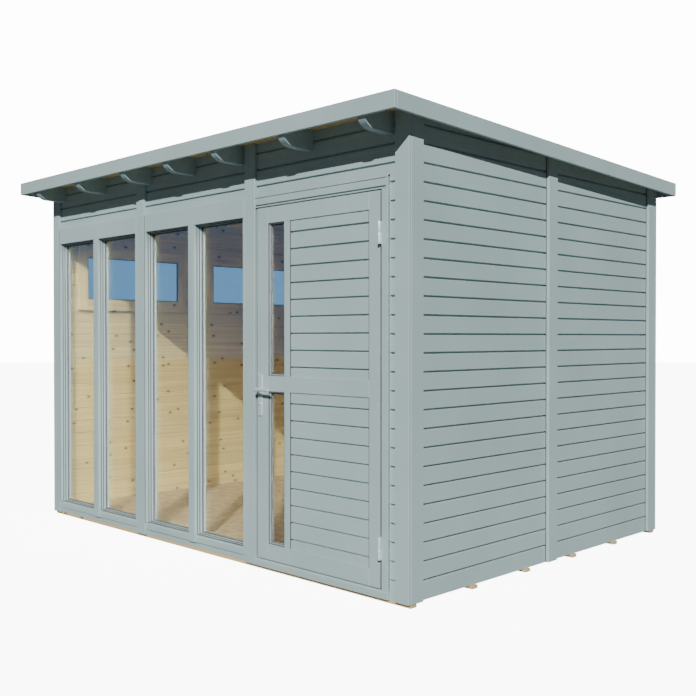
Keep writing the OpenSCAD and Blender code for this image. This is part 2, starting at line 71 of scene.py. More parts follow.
class Graph:
    """A finish's node tree, with short calls to add and join its nodes."""

    def __init__(self, name: str) -> None:
        """Starts a finish with one Principled shader on its output.

        Args:
            name: the finish's name.
        """
        self.material = bpy.data.materials.new(name)
        self.material.use_nodes = True
        self.tree = self.material.node_tree
        self.tree.nodes.clear()
        self.output = self.add("ShaderNodeOutputMaterial")
        self.shader = self.add("ShaderNodeBsdfPrincipled")
        self.tree.links.new(self.shader.outputs["BSDF"], self.output.inputs["Surface"])
        self.place = self.add("ShaderNodeTexCoord").outputs["Object"]

    def add(self, kind: str, **sockets: object) -> bpy.types.Node:
        """Adds a node and fills its sockets.

        Args:
            kind: the node's type.
            sockets: socket names with underscores for spaces, and a value or a socket for each.

        Returns:
            The new node.
        """
        node = self.tree.nodes.new(kind)
        for name, value in sockets.items():
            self.feed(node.inputs[name.replace("_", " ")], value)
        return node

    def feed(self, socket: bpy.types.NodeSocket, value: object) -> None:
        """Links a socket, or sets its value.

        Args:
            socket: the input to fill.
            value: another node's output, or a plain value.
        """
        if isinstance(value, bpy.types.NodeSocket):
            self.tree.links.new(value, socket)
        else:
            socket.default_value = value

    def stretched(self, scale: Sequence[float]) -> bpy.types.NodeSocket:
        """Object coordinates, scaled along each axis.

        Args:
            scale: the factor along X, Y and Z.

        Returns:
            The mapped coordinates.
        """
        return self.add("ShaderNodeMapping", Vector=self.place, Scale=scale).outputs["Vector"]

    def noise(self, where: bpy.types.NodeSocket, scale: float, detail: float = 3.0) -> bpy.types.NodeSocket:
        """A soft noise.

        Args:
            where: the coordinates.
            scale: its size factor.
            detail: its octaves.

        Returns:
            The noise's value.
        """
        return self.add("ShaderNodeTexNoise", Vector=where, Scale=scale, Detail=detail).outputs["Fac"]

    def cells(self, where: bpy.types.NodeSocket, scale: float, output: str) -> bpy.types.NodeSocket:
        """Scattered cells, for knots, strands and grit.

        Args:
            where: the coordinates.
            scale: its size factor.
            output: "Distance" or "Color".

        Returns:
            The chosen output.
        """
        return self.add("ShaderNodeTexVoronoi", Vector=where, Scale=scale).outputs[output]

    def span(self, value: bpy.types.NodeSocket, source: Point, target: Point) -> bpy.types.NodeSocket:
        """Maps a range of values onto another.

        Args:
            value: the value to map.
            source: the range it comes in.
            target: the range it goes out in.

        Returns:
            The mapped value.
        """
        node = self.add("ShaderNodeMapRange", Value=value, From_Min=source[0], From_Max=source[1],
                        To_Min=target[0], To_Max=target[1])
        return node.outputs["Result"]

    def between(self, share: bpy.types.NodeSocket, first: object, second: object) -> bpy.types.NodeSocket:
        """Mixes two colours.

        Args:
            share: how much of the second colour shows.
            first: a colour or a socket.
            second: a colour or a socket.

        Returns:
            The mixed colour.
        """
        node = self.add("ShaderNodeMix")
        node.data_type = "RGBA"
        self.feed(node.inputs[0], share)
        self.feed(node.inputs[6], (*first, 1.0) if isinstance(first, tuple) else first)
        self.feed(node.inputs[7], (*second, 1.0) if isinstance(second, tuple) else second)
        return node.outputs[2]

    def relief(self, height: bpy.types.NodeSocket, strength: float, depth: float) -> None:
        """Gives the shader a bump.

        Args:
            height: the height pattern.
            strength: from 0 to 1.
            depth: the pattern's depth in metres.
        """
        bump = self.add("ShaderNodeBump", Height=height, Strength=strength, Distance=depth)
        self.feed(self.shader.inputs["Normal"], bump.outputs["Normal"])


class Finish:
    """A surface finish that is made once and shared by the pieces that wear it."""

    made: dict["Finish", bpy.types.Material] = {}

    def material(self) -> bpy.types.Material:
        """The finish's material, made at its first use."""
        if self not in Finish.made:
            Finish.made[self] = self.mix()
        return Finish.made[self]

    def mix(self) -> bpy.types.Material:
        """Builds the material."""
        raise NotImplementedError


def along_grain(grain: Axis, lengthways: float, across: float) -> tuple[float, float, float]:
    """Scale factors that stretch a pattern along the grain.

    Args:
        grain: the grain's direction.
        lengthways: the factor along it.
        across: the factor across it.

    Returns:
        The factors along X, Y and Z.
    """
    factors = [across, across, across]
    factors[grain.value] = lengthways
    return tuple(factors)


@dataclass(frozen=True)
class PaintedWood(Finish):
    """Opaque blue-grey paint on planed softwood, with the grain just showing through."""

    grain: Axis
    colour: Colour = (0.350, 0.474, 0.498)

    def mix(self) -> bpy.types.Material:
        """Builds the paint."""
        graph = Graph(f"painted_wood_{self.grain.name.lower()}")
        pale = tuple(min(1.0, c * 1.06) for c in self.colour)
        dull = tuple(c * 0.92 for c in self.colour)
        streaks = graph.noise(graph.stretched(along_grain(self.grain, 1.3, 70.0)), 1.0, 6.0)
        broad = graph.noise(graph.place, 1.7, 3.0)
        knots = graph.cells(graph.stretched(along_grain(self.grain, 2.2, 6.0)), 1.0, "Distance")
        tone = graph.between(graph.span(broad, (0.3, 0.7), (0.0, 1.0)), dull, pale)
        tone = graph.between(graph.span(streaks, (0.35, 0.75), (0.0, 0.30)), tone, dull)
        tone = graph.between(graph.span(knots, (0.05, 0.11), (0.22, 0.0)), tone, dull)
        graph.feed(graph.shader.inputs["Base Color"], tone)
        graph.feed(graph.shader.inputs["Roughness"], graph.span(streaks, (0.3, 0.7), (0.46, 0.60)))
        graph.relief(streaks, 0.25, 0.0008)
        return graph.material


@dataclass(frozen=True)
class BareSpruce(Finish):
    """Unpainted planed spruce with growth lines, knots and a tone that changes board by board."""

    grain: Axis
    course: Axis
    pale: Colour = (0.61, 0.47, 0.19)
    dark: Colour = (0.38, 0.23, 0.07)
    label: str = "bare_spruce"

    def mix(self) -> bpy.types.Material:
        """Builds the bare wood."""
        graph = Graph(f"{self.label}_{self.grain.name.lower()}{self.course.name.lower()}")
        lines = graph.noise(graph.stretched(along_grain(self.grain, 1.1, 55.0)), 1.0, 7.0)
        split = graph.add("ShaderNodeSeparateXYZ", Vector=graph.place)
        apart = split.outputs[self.course.value]
        flat = graph.add("ShaderNodeCombineXYZ", X=split.outputs[self.grain.value], Y=apart)
        spread = graph.add("ShaderNodeMapping", Vector=flat.outputs["Vector"], Scale=(4.6, 7.4, 1.0))
        scatter = graph.add("ShaderNodeTexVoronoi")
        scatter.voronoi_dimensions = "2D"
        graph.feed(scatter.inputs["Vector"], spread.outputs["Vector"])
        graph.feed(scatter.inputs["Scale"], 1.0)
        knots = scatter.outputs["Distance"]
        step = graph.add("ShaderNodeMath")
        step.operation = "MULTIPLY_ADD"
        graph.feed(step.inputs[0], apart)
        graph.feed(step.inputs[1], 1.0 / 0.09)
        graph.feed(step.inputs[2], -0.3)
        whole = graph.add("ShaderNodeMath")
        whole.operation = "FLOOR"
        graph.feed(whole.inputs[0], step.outputs[0])
        chance = graph.add("ShaderNodeTexWhiteNoise")
        chance.noise_dimensions = "1D"
        graph.feed(chance.inputs["W"], whole.outputs[0])
        deep = tuple(c * 0.84 for c in self.pale)
        tone = graph.between(graph.span(chance.outputs["Value"], (0.0, 1.0), (0.0, 0.8)), self.pale, deep)
        tone = graph.between(graph.span(lines, (0.42, 0.75), (0.0, 0.65)), tone, self.dark)
        brown = tuple(c * 0.30 for c in self.dark)
        tone = graph.between(graph.span(knots, (0.075, 0.16), (0.35, 0.0)), tone, self.dark)
        tone = graph.between(graph.span(knots, (0.045, 0.068), (1.0, 0.0)), tone, brown)
        graph.feed(graph.shader.inputs["Base Color"], tone)
        graph.feed(graph.shader.inputs["Roughness"], graph.span(lines, (0.3, 0.7), (0.55, 0.70)))
        graph.relief(lines, 0.2, 0.0006)
        return graph.material


@dataclass(frozen=True)
class StrandBoard(Finish):
    """A floor board of pressed pale strands."""

    pale: Colour = (0.45, 0.34, 0.185)
    dark: Colour = (0.27, 0.17, 0.07)

    def mix(self) -> bpy.types.Material:
        """Builds the strands."""
        graph = Graph("strand_board")
        long_way = graph.cells(graph.stretched((16.0, 48.0, 20.0)), 1.0, "Color")
        short_way = graph.cells(graph.stretched((44.0, 15.0, 20.0)), 1.0, "Color")
        patch = graph.noise(graph.place, 14.0, 2.0)
        strands = graph.between(graph.span(patch, (0.46, 0.54), (0.0, 1.0)), long_way, short_way)
        shade = graph.add("ShaderNodeSeparateColor", Color=strands).outputs[0]
        tone = graph.between(graph.span(shade, (0.0, 1.0), (0.0, 0.8)), self.pale, self.dark)
        graph.feed(graph.shader.inputs["Base Color"], tone)
        graph.feed(graph.shader.inputs["Roughness"], graph.span(shade, (0.0, 1.0), (0.55, 0.75)))
        graph.relief(shade, 0.25, 0.0006)
        return graph.material


@dataclass(frozen=True)
class RoofFelt(Finish):
    """Grey mineral-faced felt."""

    pale: Colour = (0.105, 0.110, 0.115)
    dark: Colour = (0.040, 0.043, 0.047)

    def mix(self) -> bpy.types.Material:
        """Builds the grit."""
        graph = Graph("roof_felt")
        grit = graph.cells(graph.place, 420.0, "Distance")
        patch = graph.noise(graph.place, 2.4, 4.0)
        tone = graph.between(graph.span(grit, (0.1, 0.7), (0.0, 1.0)), self.pale, self.dark)
        tone = graph.between(graph.span(patch, (0.4, 0.7), (0.0, 0.4)), tone, self.dark)
        graph.feed(graph.shader.inputs["Base Color"], tone)
        graph.feed(graph.shader.inputs["Roughness"], graph.span(patch, (0.3, 0.7), (0.86, 0.96)))
        graph.relief(grit, 0.5, 0.0010)
        return graph.material


@dataclass(frozen=True)
class Metal(Finish):
    """A plated or brushed metal fitting."""

    label: str
    colour: Colour
    polish: Point
    brushed: Axis
    bare: float = 1.0

    def mix(self) -> bpy.types.Material:
        """Builds the metal."""
        graph = Graph(self.label)
        brush = graph.noise(graph.stretched(along_grain(self.brushed, 60.0, 1400.0)), 1.0, 3.0)
        worn = graph.noise(graph.place, 45.0, 3.0)
        dull = tuple(c * 0.86 for c in self.colour)
        tone = graph.between(graph.span(worn, (0.35, 0.7), (0.0, 1.0)), self.colour, dull)
        graph.feed(graph.shader.inputs["Base Color"], tone)
        graph.shader.inputs["Metallic"].default_value = self.bare
        graph.feed(graph.shader.inputs["Roughness"], graph.span(brush, (0.3, 0.7), self.polish))
        graph.relief(brush, 0.08, 0.0002)
        return graph.material


@dataclass(frozen=True)
class SealAndPaintedShade(Finish):
    """Dark glazing seal and spacer bar, whose dark is also laid as painted shade in open joints, gaps, a keyway and
    behind the door's glass.
    """

    colour: Colour = (0.065, 0.068, 0.070)

    def mix(self) -> bpy.types.Material:
        """Builds the seal, which also serves as painted shade."""
        graph = Graph("glazing_seal")
        skin = graph.noise(graph.place, 240.0, 3.0)
        pale = tuple(c * 1.9 for c in self.colour)
        graph.feed(graph.shader.inputs["Base Color"], graph.between(skin, self.colour, pale))
        graph.feed(graph.shader.inputs["Roughness"], graph.span(skin, (0.3, 0.7), (0.55, 0.75)))
        graph.relief(skin, 0.2, 0.0003)
        return graph.material


@dataclass(frozen=True)
class ClearGlass(Finish):
    """Clear float glass that lets the sun through."""

    tint: Colour = (0.975, 0.990, 0.985)

    def mix(self) -> bpy.types.Material:
        """Builds the glass."""
        graph = Graph("clear_glass")
        graph.shader.inputs["Base Color"].default_value = (*self.tint, 1.0)
        graph.shader.inputs["Transmission Weight"].default_value = 1.0
        graph.shader.inputs["IOR"].default_value = 1.45
        smear = graph.noise(graph.place, 3.0, 2.0)
        graph.feed(graph.shader.inputs["Roughness"], graph.span(smear, (0.3, 0.8), (0.0, 0.012)))
        clear = graph.add("ShaderNodeBsdfTransparent")
        clear.inputs["Color"].default_value = (0.96, 0.98, 0.975, 1.0)
        pick = graph.add("ShaderNodeMixShader")
        rays = graph.add("ShaderNodeLightPath")
        graph.feed(pick.inputs[0], rays.outputs["Is Shadow Ray"])
        graph.feed(pick.inputs[1], graph.shader.outputs["BSDF"])
        graph.feed(pick.inputs[2], clear.outputs["BSDF"])
        graph.feed(graph.output.inputs["Surface"], pick.outputs["Shader"])
        return graph.material


@dataclass(frozen=True)
class PaleFloor(Finish):
    """The studio's plain pale floor."""

    colour: Colour = (0.86, 0.86, 0.86)
    bounce: Colour = (0.19, 0.20, 0.21)

    def mix(self) -> bpy.types.Material:
        """Builds the floor."""
        graph = Graph("studio_floor")
        cloud = graph.noise(graph.place, 0.4, 2.0)
        dim = tuple(c * 0.985 for c in self.colour)
        graph.feed(graph.shader.inputs["Base Color"], graph.between(cloud, self.colour, dim))
        graph.shader.inputs["Roughness"].default_value = 0.9
        graph.shader.inputs["Emission Color"].default_value = (1.0, 1.0, 1.0, 1.0)
        graph.shader.inputs["Emission Strength"].default_value = 9.0
        weak = graph.add("ShaderNodeBsdfDiffuse", Color=(*self.bounce, 1.0))
        pick = graph.add("ShaderNodeMixShader")
        rays = graph.add("ShaderNodeLightPath")
        graph.feed(pick.inputs[0], rays.outputs["Is Camera Ray"])
        graph.feed(pick.inputs[1], weak.outputs["BSDF"])
        graph.feed(pick.inputs[2], graph.shader.outputs["BSDF"])
        graph.feed(graph.output.inputs["Surface"], pick.outputs["Shader"])
        return graph.material


PAINT = {axis: PaintedWood(axis) for axis in Axis}
LINING_X = BareSpruce(Axis.X, Axis.Z)
LINING_Y = BareSpruce(Axis.Y, Axis.Z)
BARE_UPRIGHT = BareSpruce(Axis.Z, Axis.X)
# The roof boards are the same spruce as the lining, made paler and more orange here: painted light under the roof.
SOFFIT_PAINTED_LIGHT = BareSpruce(Axis.X, Axis.Y, (0.92, 0.66, 0.30), (0.66, 0.40, 0.15), "soffit_boards_painted_light")
FELT = RoofFelt()
STRANDS = StrandBoard()
GLASS = ClearGlass()
# The dark seal finish is also laid as painted shade in open joints and gaps.
SEAL_AND_PAINTED_SHADE = SealAndPaintedShade()
ALUMINIUM = Metal("satin_aluminium", (0.74, 0.83, 0.89), (0.34, 0.48), Axis.Z, 0.45)
STEEL = Metal("bright_zinc_steel", (0.80, 0.90, 0.97), (0.30, 0.45), Axis.Z, 0.35)
# A darker copy of the zinc steel that paints the shade on the hinges' lower ends.
PAINTED_SHADE_STEEL = Metal("zinc_steel_painted_shade", (0.30, 0.31, 0.32), (0.35, 0.50), Axis.Z)


# ---------------------------------------------------------------- setting out


@dataclass(frozen=True)
class Roofline:
    """The roof's slope, from front to back."""

    front_y: float
    front_z: float
    fall: float
    under: float

    def top(self, y: float) -> float:
        """Height of the fascias' top edge at a depth."""
        return self.front_z - (y - self.front_y) * self.fall

    def underside(self, y: float) -> float:
        """Height of the roof boards' underside at a depth."""
        return self.top(y) - self.under


@dataclass(frozen=True)
class SetOut:
    """The building's main lines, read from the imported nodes."""

    half: float
    front: float
    rear: float
    base: float
    trim_t: float
    trim_w: float
    board_t: float
    foot: float
    head: float
    battens: tuple[float, float]
    roof: Roofline

    @classmethod
    def measure(cls) -> "SetOut":
        """Reads the lines from the nodes' boxes.

        Returns:
            The set-out lines, in metres.
        """
        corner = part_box("corner_trim_front_right")
        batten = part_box("front_battens")
        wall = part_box("right_wall_front")
        left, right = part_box("window_frame_left"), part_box("window_frame_right")
        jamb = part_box("door_jamb_left")
        fascia, back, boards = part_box("fascia_front"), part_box("fascia_rear"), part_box("roof_boards")
        fall = (fascia[1].z - back[1].z) / (back[0].y - fascia[0].y)
        top_at_back = fascia[1].z - (boards[1].y - fascia[0].y) * fall
        roof = Roofline(fascia[0].y, fascia[1].z, fall, top_at_back - boards[0].z)
        return cls(
            half=corner[1].x, front=batten[0].y, rear=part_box("rear_battens")[1].y, base=batten[0].z,
            trim_t=batten[1].y - batten[0].y, trim_w=corner[1].x - corner[0].x,
            board_t=wall[1].x - wall[0].x, foot=left[0].z, head=left[1].z,
            battens=((left[1].x + right[0].x) / 2, (right[1].x + jamb[0].x) / 2), roof=roof)


class Wall(Enum):
    """A wall, with its own directions: along it, inwards from its trims' faces, and up."""

    FRONT = "front"
    RIGHT = "right"
    LEFT = "left"
    REAR = "rear"

    def place(self, lines: SetOut) -> Matrix:
        """The matrix from the wall's own directions to the frame.

        Args:
            lines: the set-out lines.

        Returns:
            The wall's matrix.
        """
        turns = {
            Wall.FRONT: (0.0, (0.0, lines.front, 0.0)),
            Wall.RIGHT: (90.0, (lines.half, 0.0, 0.0)),
            Wall.REAR: (180.0, (0.0, lines.rear, 0.0)),
            Wall.LEFT: (270.0, (-lines.half, 0.0, 0.0)),
        }
        turn, start = turns[self]
        return Matrix.Translation(start) @ Matrix.Rotation(math.radians(turn), 4, "Z")

    @property
    def grain(self) -> Axis:
        """The direction of the wall's boards."""
        return Axis.X if self in (Wall.FRONT, Wall.REAR) else Axis.Y

    @property
    def lining(self) -> BareSpruce:
        """The bare wood on the wall's room side."""
        return LINING_X if self.grain is Axis.X else LINING_Y


# ---------------------------------------------------------------- making


class Piece:
    """One visible piece: its mesh in the making, and the finishes on it."""

    def __init__(self, name: str, *finishes: Finish) -> None:
        """Starts an empty piece.

        Args:
            name: the piece's name.
            finishes: its finishes, in the order that the shapes name them.
        """
        self.name = name
        self.finishes = finishes
        self.mesh = bmesh.new()

    def _settle(self, verts: Iterable[bmesh.types.BMVert], finish: int, ease: float,
                rounds: int = 1, smooth: bool = False) -> None:
        """Gives new faces their finish and eases their edges.

        Args:
            verts: the new shape's vertices.
            finish: the finish's place in the piece's list.
            ease: how far the edges are eased, in metres.
            rounds: the steps in an eased edge.
            smooth: whether the faces are shaded smooth.
        """
        faces = {face for vert in verts for face in vert.link_faces}
        for face in faces:
            face.material_index = finish
            face.smooth = smooth
        if ease > 0:
            edges = [e for e in {e for v in verts for e in v.link_edges}
                     if len(e.link_faces) == 2 and e.calc_face_angle(0.0) > 0.4]
            bmesh.ops.bevel(self.mesh, geom=edges, offset=ease, offset_type="OFFSET", segments=rounds,
                            profile=0.5, affect="EDGES", clamp_overlap=True, material=-1)

    def block(self, low: Sequence[float], high: Sequence[float], finish: int = 0,
              ease: float = 0.0012) -> list[bmesh.types.BMVert]:
        """A sawn timber between two corners, with eased edges.

        Args:
            low: its lowest corner.
            high: its highest corner.
            finish: the finish's place in the list.
            ease: how far the edges are eased.

        Returns:
            The vertices it was made from.
        """
        low, high = Vector(low), Vector(high)
        size = high - low
        place = Matrix.Translation((low + high) / 2) @ Matrix.Diagonal((*size, 1.0))
        verts = bmesh.ops.create_cube(self.mesh, size=1.0, matrix=place)["verts"]
        self._settle(verts, finish, ease)
        return verts

    def section(self, outline: Sequence[Point], axis: Axis, low: float, high: float, finish: int = 0,
                ease: float = 0.0, dress: Callable[[bmesh.types.BMFace], int] | None = None) -> None:
        """A length of timber with a constant section.

        Args:
            outline: the section's corners, in the two other axes' order.
            axis: the direction of its length.
            low: where it starts.
            high: where it ends.
            finish: the finish's place in the list.
            ease: how far the edges are eased.
            dress: picks another finish for a face.
        """
        spots = []
        for first, second in outline:
            spot = [first, second]
            spot.insert(axis.value, low)
            spots.append(self.mesh.verts.new(spot))
        face = self.mesh.faces.new(spots)
        grown = bmesh.ops.extrude_face_region(self.mesh, geom=[face])["geom"]
        moved = [item for item in grown if isinstance(item, bmesh.types.BMVert)]
        step = Vector((0.0, 0.0, 0.0))
        step[axis.value] = high - low
        bmesh.ops.translate(self.mesh, vec=step, verts=moved)
        verts = spots + moved
        faces = list({item for vert in verts for item in vert.link_faces})
        bmesh.ops.recalc_face_normals(self.mesh, faces=faces)
        self._settle(verts, finish, ease)
        if dress is not None:
            for item in faces:
                if item.is_valid:
                    item.material_index = dress(item)

    def ring(self, low: Sequence[float], high: Sequence[float], width: float, finish: int = 0,
             ease: float = 0.0) -> None:
        """A mitred ring in an upright opening, such as a glazing bead.

        Args:
            low: the opening's lowest corner, at the ring's outer face.
            high: the opening's highest corner, at the ring's inner face.
            width: how far it reaches into the opening.
            finish: the finish's place in the list.
            ease: how far the edges are eased.
        """
        corners = [(low[0], low[2]), (high[0], low[2]), (high[0], high[2]), (low[0], high[2])]
        spots = [self.mesh.verts.new((a, low[1], z)) for a, z in corners]
        face = self.mesh.faces.new(spots)
        face.normal_update()
        ring = bmesh.ops.inset_region(self.mesh, faces=[face], thickness=width, depth=0.0,
                                      use_boundary=True, use_even_offset=True)["faces"]
        bmesh.ops.delete(self.mesh, geom=[face], context="FACES_ONLY")
        grown = bmesh.ops.extrude_face_region(self.mesh, geom=ring)["geom"]
        moved = [item for item in grown if isinstance(item, bmesh.types.BMVert)]
        bmesh.ops.translate(self.mesh, vec=(0.0, high[1] - low[1], 0.0), verts=moved)
        verts = set(moved) | {vert for item in ring if item.is_valid for vert in item.verts}
        bmesh.ops.recalc_face_normals(self.mesh, faces=list({f for v in verts for f in v.link_faces}))
        self._settle(verts, finish, ease)

    def rod(self, start: Sequence[float], end: Sequence[float], radius: float, finish: int = 0,
            ease: float = 0.0, sides: int = 32) -> list[bmesh.types.BMVert]:
        """A round bar between two points.

        Args:
            start: the middle of one end.
            end: the middle of the other end.
            radius: its radius.
            finish: the finish's place in the list.
            ease: how far its rims are rounded.
            sides: the faces round it.

        Returns:
            The vertices it was made from.
        """
        start, end = Vector(start), Vector(end)
        turn = (end - start).to_track_quat("Z", "Y").to_matrix().to_4x4()
        place = Matrix.Translation((start + end) / 2) @ turn
        verts = bmesh.ops.create_cone(self.mesh, cap_ends=True, cap_tris=False, segments=sides,
                                      radius1=radius, radius2=radius, depth=(end - start).length,
                                      matrix=place)["verts"]
        self._settle(verts, finish, ease, 3, True)
        for face in {f for v in verts if v.is_valid for f in v.link_faces}:
            face.smooth = len(face.verts) < 8
        return verts

    def trim_to(self, point: Sequence[float], normal: Sequence[float]) -> None:
        """Cuts everything past a plane away and closes the cut ends.

        Args:
            point: a point on the plane.
            normal: the side that is cut away.
        """
        whole = [*self.mesh.verts, *self.mesh.edges, *self.mesh.faces]
        cut = bmesh.ops.bisect_plane(self.mesh, geom=whole, plane_co=point, plane_no=normal,
                                     clear_outer=True, dist=1e-6)["geom_cut"]
        edges = [e for e in cut if isinstance(e, bmesh.types.BMEdge) and e.is_valid and e.is_boundary]
        if edges:
            closed = bmesh.ops.holes_fill(self.mesh, edges=edges, sides=0)["faces"]
            beside = {face for edge in edges for face in edge.link_faces}
            bmesh.ops.recalc_face_normals(self.mesh, faces=list(beside.union(closed)))

    def turn(self, place: Matrix) -> None:
        """Moves the whole mesh into place."""
        bmesh.ops.transform(self.mesh, matrix=place, verts=self.mesh.verts)

    def under_roof(self, roof: Roofline) -> None:
        """Cuts the piece off under the roof boards."""
        self.trim_to((0.0, 0.0, roof.underside(0.0) - 0.0002), (0.0, roof.fall, 1.0))

    def publish(self, body: str, slot: str, *nodes: str) -> bpy.types.Object:
        """Makes the object, dresses it and lets it ride its body.

        Args:
            body: the CAD body it rides.
            slot: the record's material slot; not used.
            nodes: the CAD nodes it stands for.

        Returns:
            The finished object.
        """
        data = bpy.data.meshes.new(self.name)
        self.mesh.to_mesh(data)
        self.mesh.free()
        for finish in self.finishes:
            data.materials.append(finish.material())
        item = bpy.data.objects.new(self.name, data)
        bpy.context.scene.collection.objects.link(item)
        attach(item, body)
        if nodes:
            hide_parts(*nodes)
        log.info("%s rides %s: %d faces", self.name, body, len(data.polygons))
        return item


# ---------------------------------------------------------------- boarding


@dataclass(frozen=True)
class Courses:
    """Horizontal boards with an open shadow joint outside and a fine V joint inside."""

    face: float = 0.018
    thick: float = 0.028
    cover: float = 0.090
    datum: float = 0.027
    gap: float = 0.009
    rebate: float = 0.014
    lip: float = 0.003
    vee: float = 0.004

    def outline(self, bottom: float, low: float, high: float) -> list[Point]:
        """One board's section, kept between two heights.

        Args:
            bottom: the board's own lower edge.
            low: the lowest height to keep.
            high: the highest height to keep.

        Returns:
            The section's corners as depth and height.
        """
        out, back = self.face, self.face + self.thick
        brow = bottom + self.cover - self.gap
        corners = [
            (out + 0.001, bottom), (out, bottom + 0.001), (out, brow - self.lip), (out + self.lip, brow),
            (out + self.rebate, brow), (out + self.rebate, bottom + self.cover),
            (back - self.vee, bottom + self.cover), (back, bottom + self.cover - self.vee),
            (back, bottom + self.vee), (back - self.vee, bottom)]
        kept: list[Point] = []
        for depth, height in corners:
            spot = (depth, min(max(height, low), high))
            if not kept or math.dist(kept[-1], spot) > 1e-6:
                kept.append(spot)
        if math.dist(kept[0], kept[-1]) < 1e-6:
            kept.pop()
        return kept

    def lay(self, piece: Piece, ends: Point, heights: Point, lined: bool = True) -> None:
        """Lays boards over a rectangle of wall, in the wall's own directions.

        Args:
            piece: the piece they belong to.
            ends: where the boards start and end.
            heights: the lowest and highest height.
            lined: whether the room side is bare wood, the piece's second finish.
        """
        middle = self.face + self.thick / 2
        first = math.floor((heights[0] - self.datum) / self.cover + 1e-6)
        if self.datum + (first + 1) * self.cover - heights[0] < 0.02:
            first += 1
        for course in range(first, math.ceil((heights[1] - self.datum) / self.cover)):
            bottom = self.datum + course * self.cover
            low = heights[0] if course == first else max(bottom, heights[0])
            start = heights[0] if course == first and bottom > heights[0] else bottom
            outline = self.outline(bottom, low, heights[1])
            if start < bottom:
                outline = [(d, start if z <= bottom + self.vee + 1e-6 else z) for d, z in outline]
                outline = [p for i, p in enumerate(outline) if math.dist(p, outline[i - 1]) > 1e-6]
            if len({z for _, z in outline}) < 2:
                continue
            piece.section(outline, Axis.X, ends[0], ends[1], dress=lambda face: int(
                lined and face.normal.y > 0.3 and face.calc_center_median().y > middle))


@dataclass
class BoardedWalls:
    """The boarded panels of the four walls, and the strip beside the door."""

    lines: SetOut
    courses: Courses = field(default_factory=Courses)

    def panel(self, node: str, wall: Wall) -> None:
        """One plain panel, cut under the roof.

        Args:
            node: the CAD node that it stands for.
            wall: the wall that it belongs to.
        """
        low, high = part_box(node)
        place = wall.place(self.lines)
        ends = sorted((place.inverted() @ Vector(spot)).x for spot in (low, high))
        piece = Piece(f"{node}_boards", PAINT[wall.grain], wall.lining)
        self.courses.lay(piece, (ends[0], ends[1]), (low.z, high.z + 0.05))
        piece.turn(place)
        piece.under_roof(self.lines.roof)
        piece.publish("building", "painted_wood", node)

    def windowed(self, node: str, hole: tuple[Vector, Vector]) -> None:
        """A left-hand panel with its high window's hole.

        Args:
            node: the CAD node that it stands for.
            hole: the window frame's lowest and highest corners.
        """
        low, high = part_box(node)
        place = Wall.LEFT.place(self.lines)
        piece = Piece(f"{node}_boards", PAINT[Axis.Y], LINING_Y)
        start, end = -high.y, -low.y
        left, right = -hole[1].y, -hole[0].y
        self.courses.lay(piece, (start, end), (low.z, hole[0].z))
        self.courses.lay(piece, (start, left), (hole[0].z, hole[1].z))
        self.courses.lay(piece, (right, end), (hole[0].z, hole[1].z))
        self.courses.lay(piece, (start, end), (hole[1].z, high.z + 0.05))
        piece.turn(place)
        piece.under_roof(self.lines.roof)
        piece.publish("building", "painted_wood", node)

    def strip(self) -> None:
        """The narrow boards between the door frame and the corner."""
        low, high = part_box("front_strip_boards")
        piece = Piece("front_strip_boarding", PAINT[Axis.X], LINING_X)
        self.courses.lay(piece, (low.x, high.x), (low.z, high.z))
        piece.turn(Wall.FRONT.place(self.lines))
        piece.publish("building", "painted_wood", "front_strip_boards")

    def build(self, holes: Sequence[tuple[Vector, Vector]]) -> None:
        """Builds every boarded panel.

        Args:
            holes: the two side windows' outer boxes, front one first.
        """
        for node in ("right_wall_front", "right_wall_rear"):
            self.panel(node, Wall.RIGHT)
        for node in ("rear_wall_left", "rear_wall_middle", "rear_wall_right"):
            self.panel(node, Wall.REAR)
        for node in ("front_header_left", "front_header_middle", "front_header_right"):
            self.panel(node, Wall.FRONT)
        self.windowed("left_wall_front", holes[0])
        self.windowed("left_wall_rear", holes[1])
        self.strip()


# ---------------------------------------------------------------- trims


